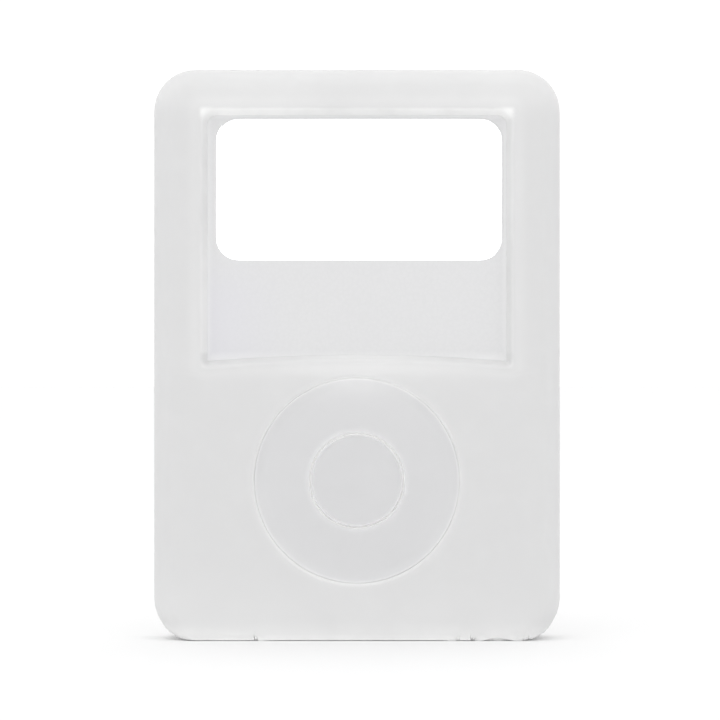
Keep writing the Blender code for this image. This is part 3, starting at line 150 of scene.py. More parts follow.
def rounded_sides(low, high, radii):
    """A rectangle's four sides, each from one corner's middle to the next, anticlockwise.

    radii are the upper right, upper left, lower left and lower right corners' radii.
    """
    a, b, c, d = radii
    upper_right = (high[0] - a, high[1] - a)
    upper_left = (low[0] + b, high[1] - b)
    lower_left = (low[0] + c, low[1] + c)
    lower_right = (high[0] - d, low[1] + d)
    return {
        "top": np.vstack([corner(upper_right, a, 45, 90), corner(upper_left, b, 90, 135)]),
        "left": np.vstack([corner(upper_left, b, 135, 180), corner(lower_left, c, 180, 225)]),
        "bottom": np.vstack([corner(lower_left, c, 225, 270), corner(lower_right, d, 270, 315)]),
        "right": np.vstack([corner(lower_right, d, 315, 360), corner(upper_right, a, 0, 45)]),
    }


def reach_of(path):
    """How far along a path each of its rows lies."""
    step = np.hypot(*np.diff(path[:, :2], axis=0).T)
    return np.concatenate([[0.0], np.cumsum(step)])


def resample(path, shares):
    """The path's rows at shares of its length, from 0 to 1, their normals brought back to length 1."""
    reach = reach_of(path)
    keep = np.concatenate([[True], np.diff(reach) > 1e-12])
    rows = np.stack([np.interp(shares * reach[-1], reach[keep], c) for c in path[keep].T], 1)
    rows[:, 2:] /= np.hypot(rows[:, 2], rows[:, 3])[:, None]
    return rows


def eased(count):
    """Shares from 0 to 1 that crowd towards both ends: (1 - cos(pi i / n)) / 2."""
    return (1 - np.cos(np.pi * np.arange(count + 1) / count)) / 2


def loop_of(sides, shares):
    """One closed loop from its sides, each sampled at its shares without its last point."""
    return np.vstack([resample(side, share)[:-1] for side, share in zip(sides, shares)])


def split_shares(first, second, share):
    """Two paths end to end, each sampled at share, as shares of their whole length."""
    lengths = [reach_of(path)[-1] for path in (first, second)]
    cut = lengths[0] / sum(lengths)
    return np.concatenate([share[:-1] * cut, cut + share * (1 - cut)])


def shares_at(path, stops, counts):
    """Shares of a side's length that pass the stops on x, eased at its ends.

    counts is how many steps lie before, between and after the stops.
    """
    reach = reach_of(path)
    order = np.argsort(path[:, 0], kind="stable")
    marks = [0.0, *(np.interp(x, path[order, 0], reach[order] / reach[-1]) for x in stops), 1.0]
    first = 1 - np.cos(np.linspace(0, np.pi / 2, counts[0] + 1))
    last = np.sin(np.linspace(0, np.pi / 2, counts[-1] + 1))
    between = [np.linspace(0, 1, count + 1) for count in counts[1:-1]]
    parts = [
        start + (end - start) * part[1:]
        for start, end, part in zip(marks, marks[1:], [first, *between, last])
    ]
    return np.concatenate([[0.0], *parts])


# ---------------------------------------------------------------- mesh building


class Patchwork:
    """Grids of points that share their rims, gathered into one mesh."""

    def __init__(self):
        self.points = []
        self.faces = []
        self.count = 0

    def grid(self, points, keep=None):
        """Adds rows x columns x 3 points, the last column joined to the first.

        keep picks the quads wanted.
        """
        rows, columns = points.shape[:2]
        index = np.arange(rows * columns).reshape(rows, columns) + self.count
        index = np.hstack([index, index[:, :1]])
        quads = np.stack([index[:-1, :-1], index[:-1, 1:], index[1:, 1:], index[1:, :-1]], -1)
        quads = quads if keep is None else quads[keep]
        self.points.append(points.reshape(-1, 3))
        self.faces.append(quads.reshape(-1, 4))
        self.count += rows * columns

    def build(self, name, body, node, weld=1e-6, crease=40, settle=None):
        """One closed mesh that rides on a body and stands for a node.

        Doubles are merged and faces turned outwards. settle, where given, moves all the points at once.
        """
        mesh = bpy.data.meshes.new(name)
        points = np.vstack(self.points)
        points = points if settle is None else settle(points)
        mesh.from_pydata(points.tolist(), [], np.vstack(self.faces).tolist())
        shape = bmesh.new()
        shape.from_mesh(mesh)
        bmesh.ops.remove_doubles(shape, verts=shape.verts, dist=weld)
        bmesh.ops.dissolve_degenerate(shape, edges=shape.edges, dist=weld / 4)
        bmesh.ops.recalc_face_normals(shape, faces=shape.faces)
        shape.to_mesh(mesh)
        shape.free()
        mesh.shade_smooth()
        mesh.set_sharp_from_angle(angle=math.radians(crease))
        piece = bpy.data.objects.new(name, mesh)
        bpy.context.scene.collection.objects.link(piece)
        even = piece.modifiers.new("even_shading", "WEIGHTED_NORMAL")
        even.keep_sharp = True
        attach(piece, body)
        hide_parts(node)
        return piece


def share_attribute(piece, name, values):
    """Stores one value a point for the piece's material to read."""
    layer = piece.data.attributes.new(name, "FLOAT", "POINT")
    layer.data.foreach_set("value", np.clip(values, 0, 2).astype(np.float32))


def points_of(piece):
    """A piece's points as rows of x, y, z."""
    flat = np.empty(len(piece.data.vertices) * 3)
    piece.data.vertices.foreach_get("co", flat)
    return flat.reshape(-1, 3)


# ---------------------------------------------------------------- sleeve

sleeve_low, sleeve_high = corners("silicone_sleeve")
lens_low, lens_high = corners("display_lens")
pad_low, pad_high = corners("sleeve_wheel_pad")
wheel_centre = middle("sleeve_wheel_pad")
screen_low = lens_low - LENS_GAP
screen_high = lens_high + LENS_GAP
cad_pad_radius = (pad_high[0] - pad_low[0]) / 2
pad_radius = cad_pad_radius + PAD_GROWTH
button_low, button_high = corners("sleeve_button_pad")
button_radius = (button_high[0] - button_low[0]) / 2
wheel_opening = pad_radius - PAD_OVERLAP
window_half_width = (screen_high[0] - screen_low[0]) / 2 + WINDOW_SIDE_RIM
window_top = screen_high[2] + WINDOW_TOP_RIM
window_bottom = pad_high[2] + BRIDGE
seam_z = (window_bottom + pad_high[2] + WINDOW_RISE * 0.4) / 2
window_foot = corners("front_cover")[0][1] - sleeve_low[1] - 0.01 * MM
front_y = sleeve_low[1]
back_y = sleeve_high[1]
flat_depth = (back_y - front_y) - 2 * EDGE_RADIUS
quarter = EDGE_RADIUS * math.pi / 2
band_length = 2 * quarter + flat_depth


def band(run, depth=0.0):
    """How far the sleeve's edge stands out from its front outline, and its y, at a distance round it.

    Round the front edge's quarter circle, straight back, then round the back edge's quarter circle.
    depth is how far under the outer surface the point lies.
    """
    front = np.clip(run, 0, quarter) / EDGE_RADIUS
    back = np.clip(band_length - run, 0, quarter) / EDGE_RADIUS
    flat = np.clip(run - quarter, 0, flat_depth)
    radius = EDGE_RADIUS - depth
    out = radius * np.minimum(np.sin(front), np.sin(back))
    return out, front_y + EDGE_RADIUS - radius * np.cos(front) + flat + radius * np.cos(back)


def band_run(y):
    """The distance round the edge at which the band reaches y: the inverse of band."""
    front = np.arccos(np.clip(1 - (y - front_y) / EDGE_RADIUS, 0, 1))
    back = np.arccos(np.clip(1 - (back_y - y) / EDGE_RADIUS, 0, 1))
    straight = quarter + (y - front_y - EDGE_RADIUS)
    run = np.where(y < front_y + EDGE_RADIUS, front * EDGE_RADIUS, straight)
    return np.where(y > back_y - EDGE_RADIUS, band_length - back * EDGE_RADIUS, run)


def window_foot_line(x):
    """The height of the window's arched lower edge: a parabola, highest in the middle."""
    return window_bottom + WINDOW_RISE * (1 - np.clip(x / window_half_width, -1, 1) ** 2)


def face_relief(x, z):
    """How far the front face sinks: half a cosine wave down to the middle of the window's lower edge."""
    below = np.clip((window_foot_line(x) - z) / BRIDGE_SLOPE, 0, 1)
    across = np.exp(-((x / BRIDGE_REACH) ** 2))
    above = z > window_foot_line(x) + 2 * WINDOW_LIP
    return np.where(above, 0, BRIDGE_SINK * across * (0.5 + 0.5 * np.cos(np.pi * below)))


def lip_rows(end=90, steps=7):
    """How far out and down a rounded lip's rows lie, as shares of its radius, turning by end degrees."""
    turn = np.radians(np.linspace(0, end, steps))[1:, None]
    return np.sin(turn[-1]) - np.sin(turn), 1 - np.cos(turn)


def face_opening(
    work, rim, hole, face, sense, lip, foot=SKIN, slope=0.0, turn=90, rows=9, relief=None
):
    """An opening in a flat face as one band of quads: over face and lip, down the wall, back inside.

    rim and hole are loops of x, z and normals. face is the face's y and sense is 1 where deeper is +y.
    The lip turns by turn degrees, and slope is how far the wall leans into the opening by its foot.
    """
    toward = (np.linspace(0, 1, rows + 1) ** 0.75)[:, None, None]
    rounded = hole[:, :2] + lip * math.sin(math.radians(turn)) * hole[:, 2:]
    outer = rim[None, :, :2] * (1 - toward) + rounded[None] * toward
    sink = np.zeros(outer.shape[:2]) if relief is None else relief(outer[..., 0], outer[..., 1])
    inward, down = lip_rows(turn)
    curl = hole[None, :, :2] + lip * inward[..., None] * hole[None, :, 2:]
    curl_depth = sink[-1][None] + lip * down
    wall = np.linspace(0, 1, 7)[1:, None]
    wall_depth = curl_depth[-1][None] * (1 - wall) + foot * wall
    straight = hole[None, :, :2] - slope * wall[..., None] * hole[None, :, 2:]
    under = hole[None, :, :2] + INNER_FLARE * hole[None, :, 2:]
    inner = under * toward[::-1] + rim[None, :, :2] * (1 - toward[::-1])
    flat = np.concatenate([outer, curl, straight, under, inner])
    under_depth = np.full(under.shape[:2], foot)
    inner_depth = np.full(inner.shape[:2], SKIN)
    depth = np.concatenate([sink, curl_depth, wall_depth, under_depth, inner_depth])
    work.grid(np.stack([flat[..., 0], face + sense * depth, flat[..., 1]], -1))


def along_outline(path, run, out):
    """Points at run along a side's path, moved out along its normals: x, z."""
    x, z, nx, nz = (np.interp(run, reach_of(path), column) for column in path.T)
    size = np.hypot(nx, nz)
    return x + out * nx / size, z + out * nz / size


def run_at(path, x, out):
    """How far along a side's path each x is met, out from the path: repeated small corrections."""
    sense = np.sign(path[-1, 0] - path[0, 0])
    run = sense * (x - path[0, 0])
    for _ in range(14):
        run = run + sense * (x - along_outline(path, run, out)[0]) * 0.8
    return run


def port_opening(work, path, runs, sides, lip=PORT_LIP):
    """An opening in the sleeve's edge as one band of quads, along the outline and round the edge.

    From the stretch's rim to the hole's rounded lip, down the wall, and back to the rim on the inside.
    """
    block = np.vstack(
        [
            np.stack([runs[:-1], np.full(len(runs) - 1, band_rows[0])], 1),
            np.stack([np.full(len(band_rows) - 1, runs[-1]), band_rows[:-1]], 1),
            np.stack([runs[:0:-1], np.full(len(runs) - 1, band_rows[-1])], 1),
            np.stack([np.full(len(band_rows) - 1, runs[0]), band_rows[:0:-1]], 1),
        ]
    )
    along, round_edge = eased(len(runs) - 1), eased(len(band_rows) - 1)
    rightwards = path[-1, 0] > path[0, 0]
    names = ("bottom", "right", "top", "left") if rightwards else ("bottom", "left", "top", "right")
    loops = [sides[name] if rightwards else sides[name][::-1] for name in names]
    hole = loop_of(loops, (along, round_edge, along, round_edge))

    def on_edge(points):
        round_run = band_run(points[:, 1])
        return np.stack([run_at(path, points[:, 0], band(round_run)[0]), round_run], 1)

    wall = on_edge(hole[:, :2])
    rounded = on_edge(hole[:, :2] + lip * hole[:, 2:])
    toward = (np.linspace(0, 1, 8) ** 0.8)[:, None, None]
    inward, down = lip_rows()
    outer = block[None] * (1 - toward) + rounded[None] * toward
    curl = wall[None] + (rounded - wall)[None] * inward[..., None]
    straight = np.repeat(wall[None], 2, 0)
    inner = wall[None] * toward[::-1] + block[None] * (1 - toward[::-1])
    flat = np.concatenate([outer, curl, straight, inner[1:]])
    depth = np.concatenate(
        [np.zeros(len(outer)), lip * down[:, 0], [SKIN * 0.6, SKIN], np.full(len(inner) - 1, SKIN)]
    )
    out, y = band(flat[..., 1], depth[:, None])
    x, z = along_outline(path, flat[..., 0], out)
    work.grid(np.stack([x, y, z], -1))


band_rows = np.concatenate(
    [
        np.linspace(0, quarter, 13)[:-1],
        np.linspace(quarter, quarter + flat_depth, 9)[:-1],
        np.linspace(quarter + flat_depth, band_length, 13),
    ]
)


def make_sleeve():
    """The sleeve as one closed skin, its outer and inner surfaces joined at each opening.

    Front: a band of quads from the window to the outline above a seam, and one from the wheel's opening
    to the outline below it. Back: one from the screen's opening. Edge: the outline carried through band,
    outside and inside, except where the stretches round the ports are.
    """
    half = sleeve_high[0] - EDGE_RADIUS
    low_z, high_z = sleeve_low[2] + EDGE_RADIUS, sleeve_high[2] - EDGE_RADIUS
    outline = rounded_sides((-half, low_z), (half, high_z), [CORNER_RADIUS - EDGE_RADIUS] * 4)
    left, right = outline["left"], outline["right"]
    seam_left = np.array([[-half, seam_z, -1, 0]])
    seam_right = np.array([[half, seam_z, 1, 0]])
    paths = {
        "top": outline["top"],
        "left_up": np.vstack([left[left[:, 1] > seam_z], seam_left]),
        "left_low": np.vstack([seam_left, left[left[:, 1] <= seam_z]]),
        "bottom": outline["bottom"],
        "right_low": np.vstack([right[right[:, 1] < seam_z], seam_right]),
        "right_up": np.vstack([seam_right, right[right[:, 1] >= seam_z]]),
    }

    dock, jack, hold = middle("dock_shell"), middle("jack_bezel"), middle("hold_switch_base")
    dock_reach = DOCK_HALF_OPENING[0] + PORT_MARGIN
    hold_reach = HOLD_HALF_OPENING[0] + PORT_MARGIN
    jack_reach = JACK_OPENING_RADIUS + PORT_MARGIN / 2
    dock_x = (dock[0] - dock_reach, dock[0] + dock_reach)
    jack_x = (jack[0] - jack_reach, jack[0] + jack_reach)
    hold_x = (hold[0] + hold_reach, hold[0] - hold_reach)
    bottom_counts = (16, 44, 4, 24, 12)
    top_counts = (34, 30, 14)
    side_share = eased(40)
    shares = {name: side_share for name in paths}
    shares["bottom"] = shares_at(outline["bottom"], (*dock_x, *jack_x), bottom_counts)
    shares["top"] = shares_at(outline["top"], hold_x, top_counts)
    pieces = {name: resample(paths[name], shares[name])[:-1] for name in paths}
    rim = np.vstack(list(pieces.values()))
    lengths = np.cumsum([0] + [len(piece) for piece in pieces.values()])
    starts = dict(zip(pieces, lengths))
    work = Patchwork()

    seam_share = eased(72)
    seam = resample(np.vstack([seam_left, [[0, seam_z, 0, -1]], seam_right]), seam_share)
    window = rounded_sides(
        (-window_half_width, window_bottom),
        (window_half_width, window_top),
        [WINDOW_CORNER, WINDOW_CORNER, WINDOW_FOOT_CORNER, WINDOW_FOOT_CORNER],
    )
    arch = resample(window["bottom"], np.linspace(0, 1, 600))
    arch[:, 1] += window_foot_line(arch[:, 0]) - window_bottom
    window["bottom"] = arch
    upper_rim = np.vstack([pieces["top"], pieces["left_up"], seam[:-1], pieces["right_up"]])
    upper_shares = (shares["top"], side_share, seam_share, side_share)
    window_loop = loop_of([window[s] for s in ROUND_TRIP], upper_shares)
    face_opening(
        work, upper_rim, window_loop, front_y, 1, WINDOW_LIP,
        window_foot, WINDOW_SLOPE, WINDOW_LIP_TURN, relief=face_relief,
    )

    centre = wheel_centre[[0, 2]]
    circle = rounded_sides(centre - wheel_opening, centre + wheel_opening, [wheel_opening] * 4)
    lower_rim = np.vstack(
        [seam[::-1][:-1], pieces["left_low"], pieces["bottom"], pieces["right_low"]]
    )
    lower_shares = (seam_share, side_share, shares["bottom"], side_share)
    wheel_loop = loop_of([circle[s] for s in ROUND_TRIP], lower_shares)
    face_opening(work, lower_rim, wheel_loop, front_y, 1, WHEEL_LIP, rows=12, relief=face_relief)

    screen = rounded_sides(screen_low[[0, 2]], screen_high[[0, 2]], [SCREEN_CORNER] * 4)
    left_share = split_shares(paths["left_up"], paths["left_low"], side_share)
    right_share = split_shares(paths["right_low"], paths["right_up"], side_share)
    back_shares = (shares["top"], left_share, shares["bottom"], right_share)
    back_loop = loop_of([screen[s] for s in ROUND_TRIP], back_shares)
    face_opening(work, rim, back_loop, back_y, -1, BACK_LIP)

    dock_columns = (bottom_counts[0], sum(bottom_counts[:2]))
    jack_columns = (sum(bottom_counts[:3]), sum(bottom_counts[:4]))
    hold_columns = (top_counts[0], sum(top_counts[:2]))
    ports = (
        (dock, DOCK_HALF_OPENING, dock_columns, "bottom", PORT_CORNER),
        (jack, (JACK_OPENING_RADIUS, JACK_OPENING_RADIUS), jack_columns, "bottom", JACK_OPENING_RADIUS),
        (hold, HOLD_HALF_OPENING, hold_columns, "top", PORT_CORNER),
    )
    keep = np.ones((len(band_rows) - 1, len(rim)), bool)
    for centre, reach, (first, last), side, radius in ports:
        keep[:, starts[side] + first : starts[side] + last] = False
        reach = np.array(reach)
        hole = rounded_sides(centre[:2] - reach, centre[:2] + reach, [radius] * 4)
        runs = shares[side][first : last + 1] * reach_of(paths[side])[-1]
        port_opening(work, paths[side], runs, hole)
    for depth in (0, SKIN):
        out, y = band(band_rows, depth)
        columns = rim[None, :, :2] + out[:, None, None] * rim[None, :, 2:]
        rows = np.broadcast_to(y[:, None], columns.shape[:2])
        work.grid(np.stack([columns[..., 0], rows, columns[..., 1]], -1), keep=keep)
    return work.build("soft_sleeve", "player", "silicone_sleeve", settle=settled)


def settled(points):
    """The sleeve's lower edges pressed fuller by its weight.

    Round each lower edge's centre a point moves out by 1 / (|cos a|^n + |sin a|^n)^(1/n), which turns the
    quarter circle into a squarer curve and leaves its ends where they are.
    """
    x, y, z = points.T
    low = np.minimum(z - (sleeve_low[2] + EDGE_RADIUS), 0)
    centre_y = np.clip(y, front_y + EDGE_RADIUS, back_y - EDGE_RADIUS)
    across = y - centre_y
    radius = np.maximum(np.hypot(across, low), 1e-12)
    power = SETTLED_POWER
    grow = (np.abs(across / radius) ** power + np.abs(low / radius) ** power) ** (-1 / power)
    grow = np.where(radius > 1e-9, grow, 1)
    new_z = np.where(low < 0, z + low * (grow - 1), z)
    return np.stack([x, centre_y + across * grow, new_z], 1)


def soft_step(value, width):
    """0 well below 0, 1 well above it: the logistic curve of value / width."""
    return 1 / (1 + np.exp(-np.clip(value / width, -30, 30)))


def window_distance(x, z):
    """The distance out from the window's edge, negative inside it: a rectangle's, with an arched foot."""
    across = np.abs(x) - window_half_width
    up = np.maximum(z - window_top, window_foot_line(x) - z)
    outside = np.hypot(np.maximum(across, 0), np.maximum(up, 0))
    return outside + np.minimum(np.maximum(across, up), 0)


def rubber_painted_light(points):
    """Painted light on the milky rubber: 0 leaves it dark, 1 paints it light, and past 1 a thin edge gets
    a faint painted glow.

    The sum of soft steps at the top, the sides, the base, the window's lip and the wheel's lip, a bell on
    the fold round the window, and one on the bridge: painted highlights on the top and the bridge, and
    painted light over the shade of the lips, the seam, the lower part and the base, and on the fold.
    Openings count on the front only.
    """
    x, y, z = points.T
    front = y < 0
    # Painted highlight on the top; painted light over the shade of the lower part and the base; a painted
    # glow at the foot against the floor
    top = soft_step(z - (sleeve_high[2] - 5.2 * MM), 0.7 * MM)
    low = soft_step(sleeve_low[2] + 7.0 * MM - z, 2.4 * MM)
    base = soft_step(sleeve_low[2] + 1.6 * MM - z, 0.4 * MM)
    foot = soft_step(sleeve_low[2] + 0.12 * MM - z, 0.03 * MM)

    # Painted light on the window's lip, more on its top and left, and on the fold round the window
    from_window = window_distance(x, z)
    rim = soft_step(0.3 * MM - from_window, 0.12 * MM) * front
    head = 0.6 * soft_step(z - window_top + WINDOW_TOP_RIM, 0.15 * MM)
    upright = np.where(z > window_bottom + 2 * MM, 0.54 - 0.1 * x / window_half_width, 0.2)
    fold = np.exp(-(((from_window - 1.2 * MM) / (0.8 * MM)) ** 2)) * front

    # Painted light over the shade of the wheel's lip and its seam, more towards the top
    from_wheel = np.hypot(x - wheel_centre[0], z - wheel_centre[2]) - wheel_opening
    upward = (z - wheel_centre[2]) / wheel_opening
    wheel = soft_step(0.5 * MM - from_wheel, 0.1 * MM) * front
    seam = soft_step(0.16 * MM - from_wheel, 0.05 * MM) * front * (0.75 + 0.45 * upward)

    # Painted highlight on the bridge under the window
    glow = painted_bridge_highlight(x, z) * front
    ends = 0.28 * top + 0.24 * low + 0.35 * base + 0.6 * foot
    lips = (upright + head) * rim + 0.24 * wheel + seam
    return ends + lips + 0.14 * fold + 0.22 * glow


def painted_bridge_highlight(x, z):
    """A painted highlight centred under the window: a bell 14 mm wide and 3.4 mm high."""
    return np.exp(-((x / (14 * MM)) ** 2) - ((z - window_bottom) / (3.4 * MM)) ** 2)


# ---------------------------------------------------------------- turned and rounded pieces


def turned(name, centre, axis, profile, body, node, steps=256):
    """A profile of radius and distance along an axis ("y" or "z"), carried round it.

    A point at angle a is centre + radius (cos a, sin a) across the axis + distance along it.
    """
    turn = np.linspace(0, 2 * np.pi, steps, endpoint=False)
    radius, along = np.array(profile)[:, 0, None], np.array(profile)[:, 1, None]
    first = centre[0] + radius * np.cos(turn)
    second = radius * np.sin(turn)
    along = np.broadcast_to(along, first.shape)
    if axis == "y":
        points = np.stack([first, along, centre[2] + second], -1)
    else:
        points = np.stack([first, centre[1] + second, along], -1)
    work = Patchwork()
    work.grid(points)
    return work.build(name, body, node)


def make_wheel_pad():
    """A ring of skin: level over the wheel, curling forward at its rim to meet the sleeve's lip.

    Its inner edge is a thin lip over the button's flange, hollow behind so that the two move freely.
    """
    face, back = pad_low[1], pad_high[1]
    inner = button_radius + BUTTON_GAP
    hollow = button_radius + BUTTON_FLANGE + FLANGE_ROOM
    level_radius = np.linspace(inner + 0.12 * MM, pad_radius - PAD_RIM_WIDTH, 12)[:-1]
    curled_radius = np.linspace(pad_radius - PAD_RIM_WIDTH, pad_radius - 0.05 * MM, 16)
    radius = np.concatenate([level_radius, curled_radius])
    curl = np.clip((radius - (pad_radius - PAD_RIM_WIDTH)) / PAD_RIM_WIDTH, 0, 1)
    level = face - PAD_RIM_RISE * curl**2
    start = [
        (hollow, back),
        (hollow, face + PAD_LIP),
        (inner, face + PAD_LIP),
        (inner + 0.02 * MM, face + 0.02 * MM),
        (inner + 0.06 * MM, face),
    ]
    end = [
        (pad_radius, level[-1] + 0.05 * MM),
        (pad_radius, face + 0.5 * MM),
        (cad_pad_radius, face + 0.56 * MM),
        (cad_pad_radius, back),
        (hollow, back),
    ]
    profile = start + list(zip(radius, level)) + end
    return turned("wheel_skin", wheel_centre, "y", profile, "wheel", "sleeve_wheel_pad")


def make_button_pad():
    """A disc of skin with a bead at its rim, a bell curve of the radius.

    Outside the bead it slopes down to a flange that runs behind the wheel's lip.
    """
    face, back = pad_low[1], button_high[1]
    rim = button_radius
    flange = button_radius + BUTTON_FLANGE
    crest = rim - BUTTON_BEAD_INSET
    bead_end = rim - 0.04 * MM
    middle_radius = np.linspace(0, crest - 0.4 * MM, 10)[:-1]
    radius = np.concatenate([middle_radius, np.linspace(crest - 0.4 * MM, bead_end, 20)])
    dish = BUTTON_DISH * (1 - (radius / rim) ** 2)
    level = face + dish - BUTTON_BEAD * np.exp(-(((radius - crest) / BUTTON_BEAD_WIDTH) ** 2))
    flank_radius = np.linspace(bead_end, rim + 0.14 * MM, 6)[1:]
    flank = np.linspace(level[-1], face + FLANGE_TOP, 6)[1:]
    behind = [
        (flange, face + FLANGE_TOP),
        (flange, face + FLANGE_BACK),
        (rim, face + FLANGE_BACK),
        (rim, back),
        (0, back),
    ]
    profile = [*zip(radius, level), *zip(flank_radius, flank), *behind]
    return turned("button_skin", wheel_centre, "y", profile, "button", "sleeve_button_pad")


def pad_painted_light(points):
    """Painted light on the skin over the wheel, as on the sleeve's rubber.

    Painted shade in the middle, painted highlights on its bead, its rim and under the window, and a
    painted glow in the ring's gap.
    """
    x, y, z = points.T
    radius = np.hypot(x - wheel_centre[0], z - wheel_centre[2])
    # Painted highlight on the bead and rim, painted shade towards the middle, a painted glow in the ring's
    # gap
    bead = np.exp(-(((radius - button_radius + BUTTON_BEAD_INSET) / (0.16 * MM)) ** 2))
    upward = (z - wheel_centre[2]) / pad_radius
    rim = soft_step(radius - pad_radius + 0.2 * MM, 0.07 * MM) * (1 + 0.2 * upward)
    in_gap = np.abs(radius - button_radius - BUTTON_FLANGE / 2) < BUTTON_FLANGE
    painted_gap_glow = 2 * in_gap * soft_step(y - pad_low[1] - 0.035 * MM, 0.01 * MM)
    outward = np.clip(radius / pad_radius, 0, 1) ** 2
    return 0.08 * outward + 0.2 * bead + painted_gap_glow + 0.5 * rim + 0.62 * painted_bridge_highlight(x, z)


def make_jack_bezel():
    """A polished ring round the jack's bore, its edges rounded by quarter circles."""
    low, high = corners("jack_bezel")
    outer, bore = (high[0] - low[0]) / 2, JACK_BORE_RADIUS
    soft = 0.09 * MM
    turn = np.linspace(0, np.pi / 2, 6)
    across, down = soft * np.cos(turn), soft * np.sin(turn)
    inner_lip = np.stack([bore + soft - across, low[2] + soft - down], 1)
    outer_lip = np.stack([outer - soft + down, low[2] + soft - across], 1)
    profile = [(bore, high[2]), *inner_lip, *outer_lip, (outer, high[2]), (bore, high[2])]
    return turned(
        "jack_ring", middle("jack_bezel"), "z", profile, "player", "jack_bezel", 96
    )


def rounded_slab(work, outline, near, far, soft, place, swell=None, ring=0.0):
    """A flat piece with softened rims, closed at its middle: its outline over two quarter circles.

    place puts rows of across and along into x, y, z. swell adds to the near face's distance. ring is the
    width of a last level row at the face's edge.
    """
    inside = outline[:, :2] - soft * outline[:, 2:]
    clear = inside - ring * outline[:, 2:]
    centre = inside.mean(0)
    shrink = np.linspace(0, 1, 9)[:, None, None]
    face = np.concatenate([centre * (1 - shrink) + clear[None] * shrink, inside[None]])
    shrink = np.linspace(0, 1, 10)[:, None, None]
    turn = np.linspace(0, np.pi / 2, 6)[1:, None]
    curl = inside[None] + soft * np.sin(turn)[..., None] * outline[None, :, 2:]
    sense = np.sign(far - near)
    near_level = np.full(face.shape[:2], near)
    if swell is not None:
        near_level = near_level - sense * swell(face) * (shrink[..., 0] < 0.999)
    levels = np.concatenate(
        [
            near_level,
            np.broadcast_to(near + sense * soft * (1 - np.cos(turn)), curl.shape[:2]),
            np.broadcast_to(far - sense * soft * (1 - np.cos(turn[::-1])), curl.shape[:2]),
            np.full(face.shape[:2], far),
        ]
    )
    flat = np.concatenate([face, curl, curl[::-1], face[::-1]])
    work.grid(place(flat, levels))


def make_lens():
    """The clear cover over the screen: a rounded rectangle with soft rims, filling its opening."""
    grow = LENS_GAP - LENS_FIT
    low, high = lens_low[[0, 2]] - grow, lens_high[[0, 2]] + grow
    sides = rounded_sides(low, high, [SCREEN_CORNER - LENS_FIT] * 4)
    loop = loop_of([sides[s] for s in ROUND_TRIP], [eased(48)] * 4)
    work = Patchwork()
    rounded_slab(
        work, loop, lens_low[1], lens_high[1], LENS_SOFT,
        lambda flat, level: np.stack([flat[..., 0], level, flat[..., 1]], -1),
        ring=LENS_BORDER - LENS_SOFT,
    )
    return work.build("screen_cover", "player", "display_lens")


def print_border(piece, finish):
    """Gives the lens's upper and right rims a finish.

    They are the faces beyond a rounded rectangle that is inset by the border's width.
    """
    piece.data.materials.append(finish.material)
    centres = np.empty(len(piece.data.polygons) * 3)
    piece.data.polygons.foreach_get("center", centres)
    across = centres.reshape(-1, 3)[:, [0, 2]]
    half = (lens_high - lens_low)[[0, 2]] / 2 + LENS_GAP - LENS_FIT - LENS_BORDER
    radius = SCREEN_CORNER - LENS_BORDER
    past = np.abs(across - (lens_high + lens_low)[[0, 2]] / 2) - (half - radius)
    outside = np.hypot(*np.maximum(past, 0).T) + np.minimum(past.max(1), 0) - radius
    bordered = (across > lens_high[[0, 2]] - 1.0 * MM).any(1) & (outside > 0.002 * MM)
    piece.data.polygons.foreach_set("material_index", bordered.astype(np.int32))


def make_hold_knob():
    """The hold slider: a ribbed knob with rounded ends on a thin plate that runs under the housing."""
    low, high = corners("hold_slider")
    plate_top = corners("hold_switch_base")[1][2] + 0.4 * MM
    knob_low = np.array([low[0] + 0.7 * MM, low[1] + 0.35 * MM])
    knob_high = np.array([high[0] - 0.7 * MM, high[1] - 0.35 * MM])
    radius = (knob_high[1] - knob_low[1]) / 2 - 0.01 * MM
    share = np.linspace(0, 1, 41)
    work = Patchwork()

    def upright(flat, level):
        return np.stack([flat[..., 0], flat[..., 1], level], -1)

    def ribs(flat):
        wave = np.cos((flat[..., 0] - flat[..., 0].mean()) * 2 * np.pi / (0.62 * MM))
        return 0.09 * MM * (wave - 1)

    for (a, b), near, far, soft, swell in (
        ((knob_low, knob_high), high[2], plate_top, 0.16 * MM, ribs),
        ((low[:2], high[:2]), plate_top, low[2], 0.06 * MM, None),
    ):
        corner_radius = radius if swell else 0.3 * MM
        sides = rounded_sides(a, b, [corner_radius] * 4)
        loop = loop_of([sides[s] for s in ROUND_TRIP], [share] * 4)
        rounded_slab(work, loop, near, far, soft, upright, swell)
    return work.build("hold_knob", "hold", "hold_slider", weld=1e-8)


# ---------------------------------------------------------------- finishes

# A colour mix node's sockets, which share one name between several kinds of value
MIX_SHARE, MIX_UNDER, MIX_OVER, MIX_RESULT = 0, 6, 7, 2


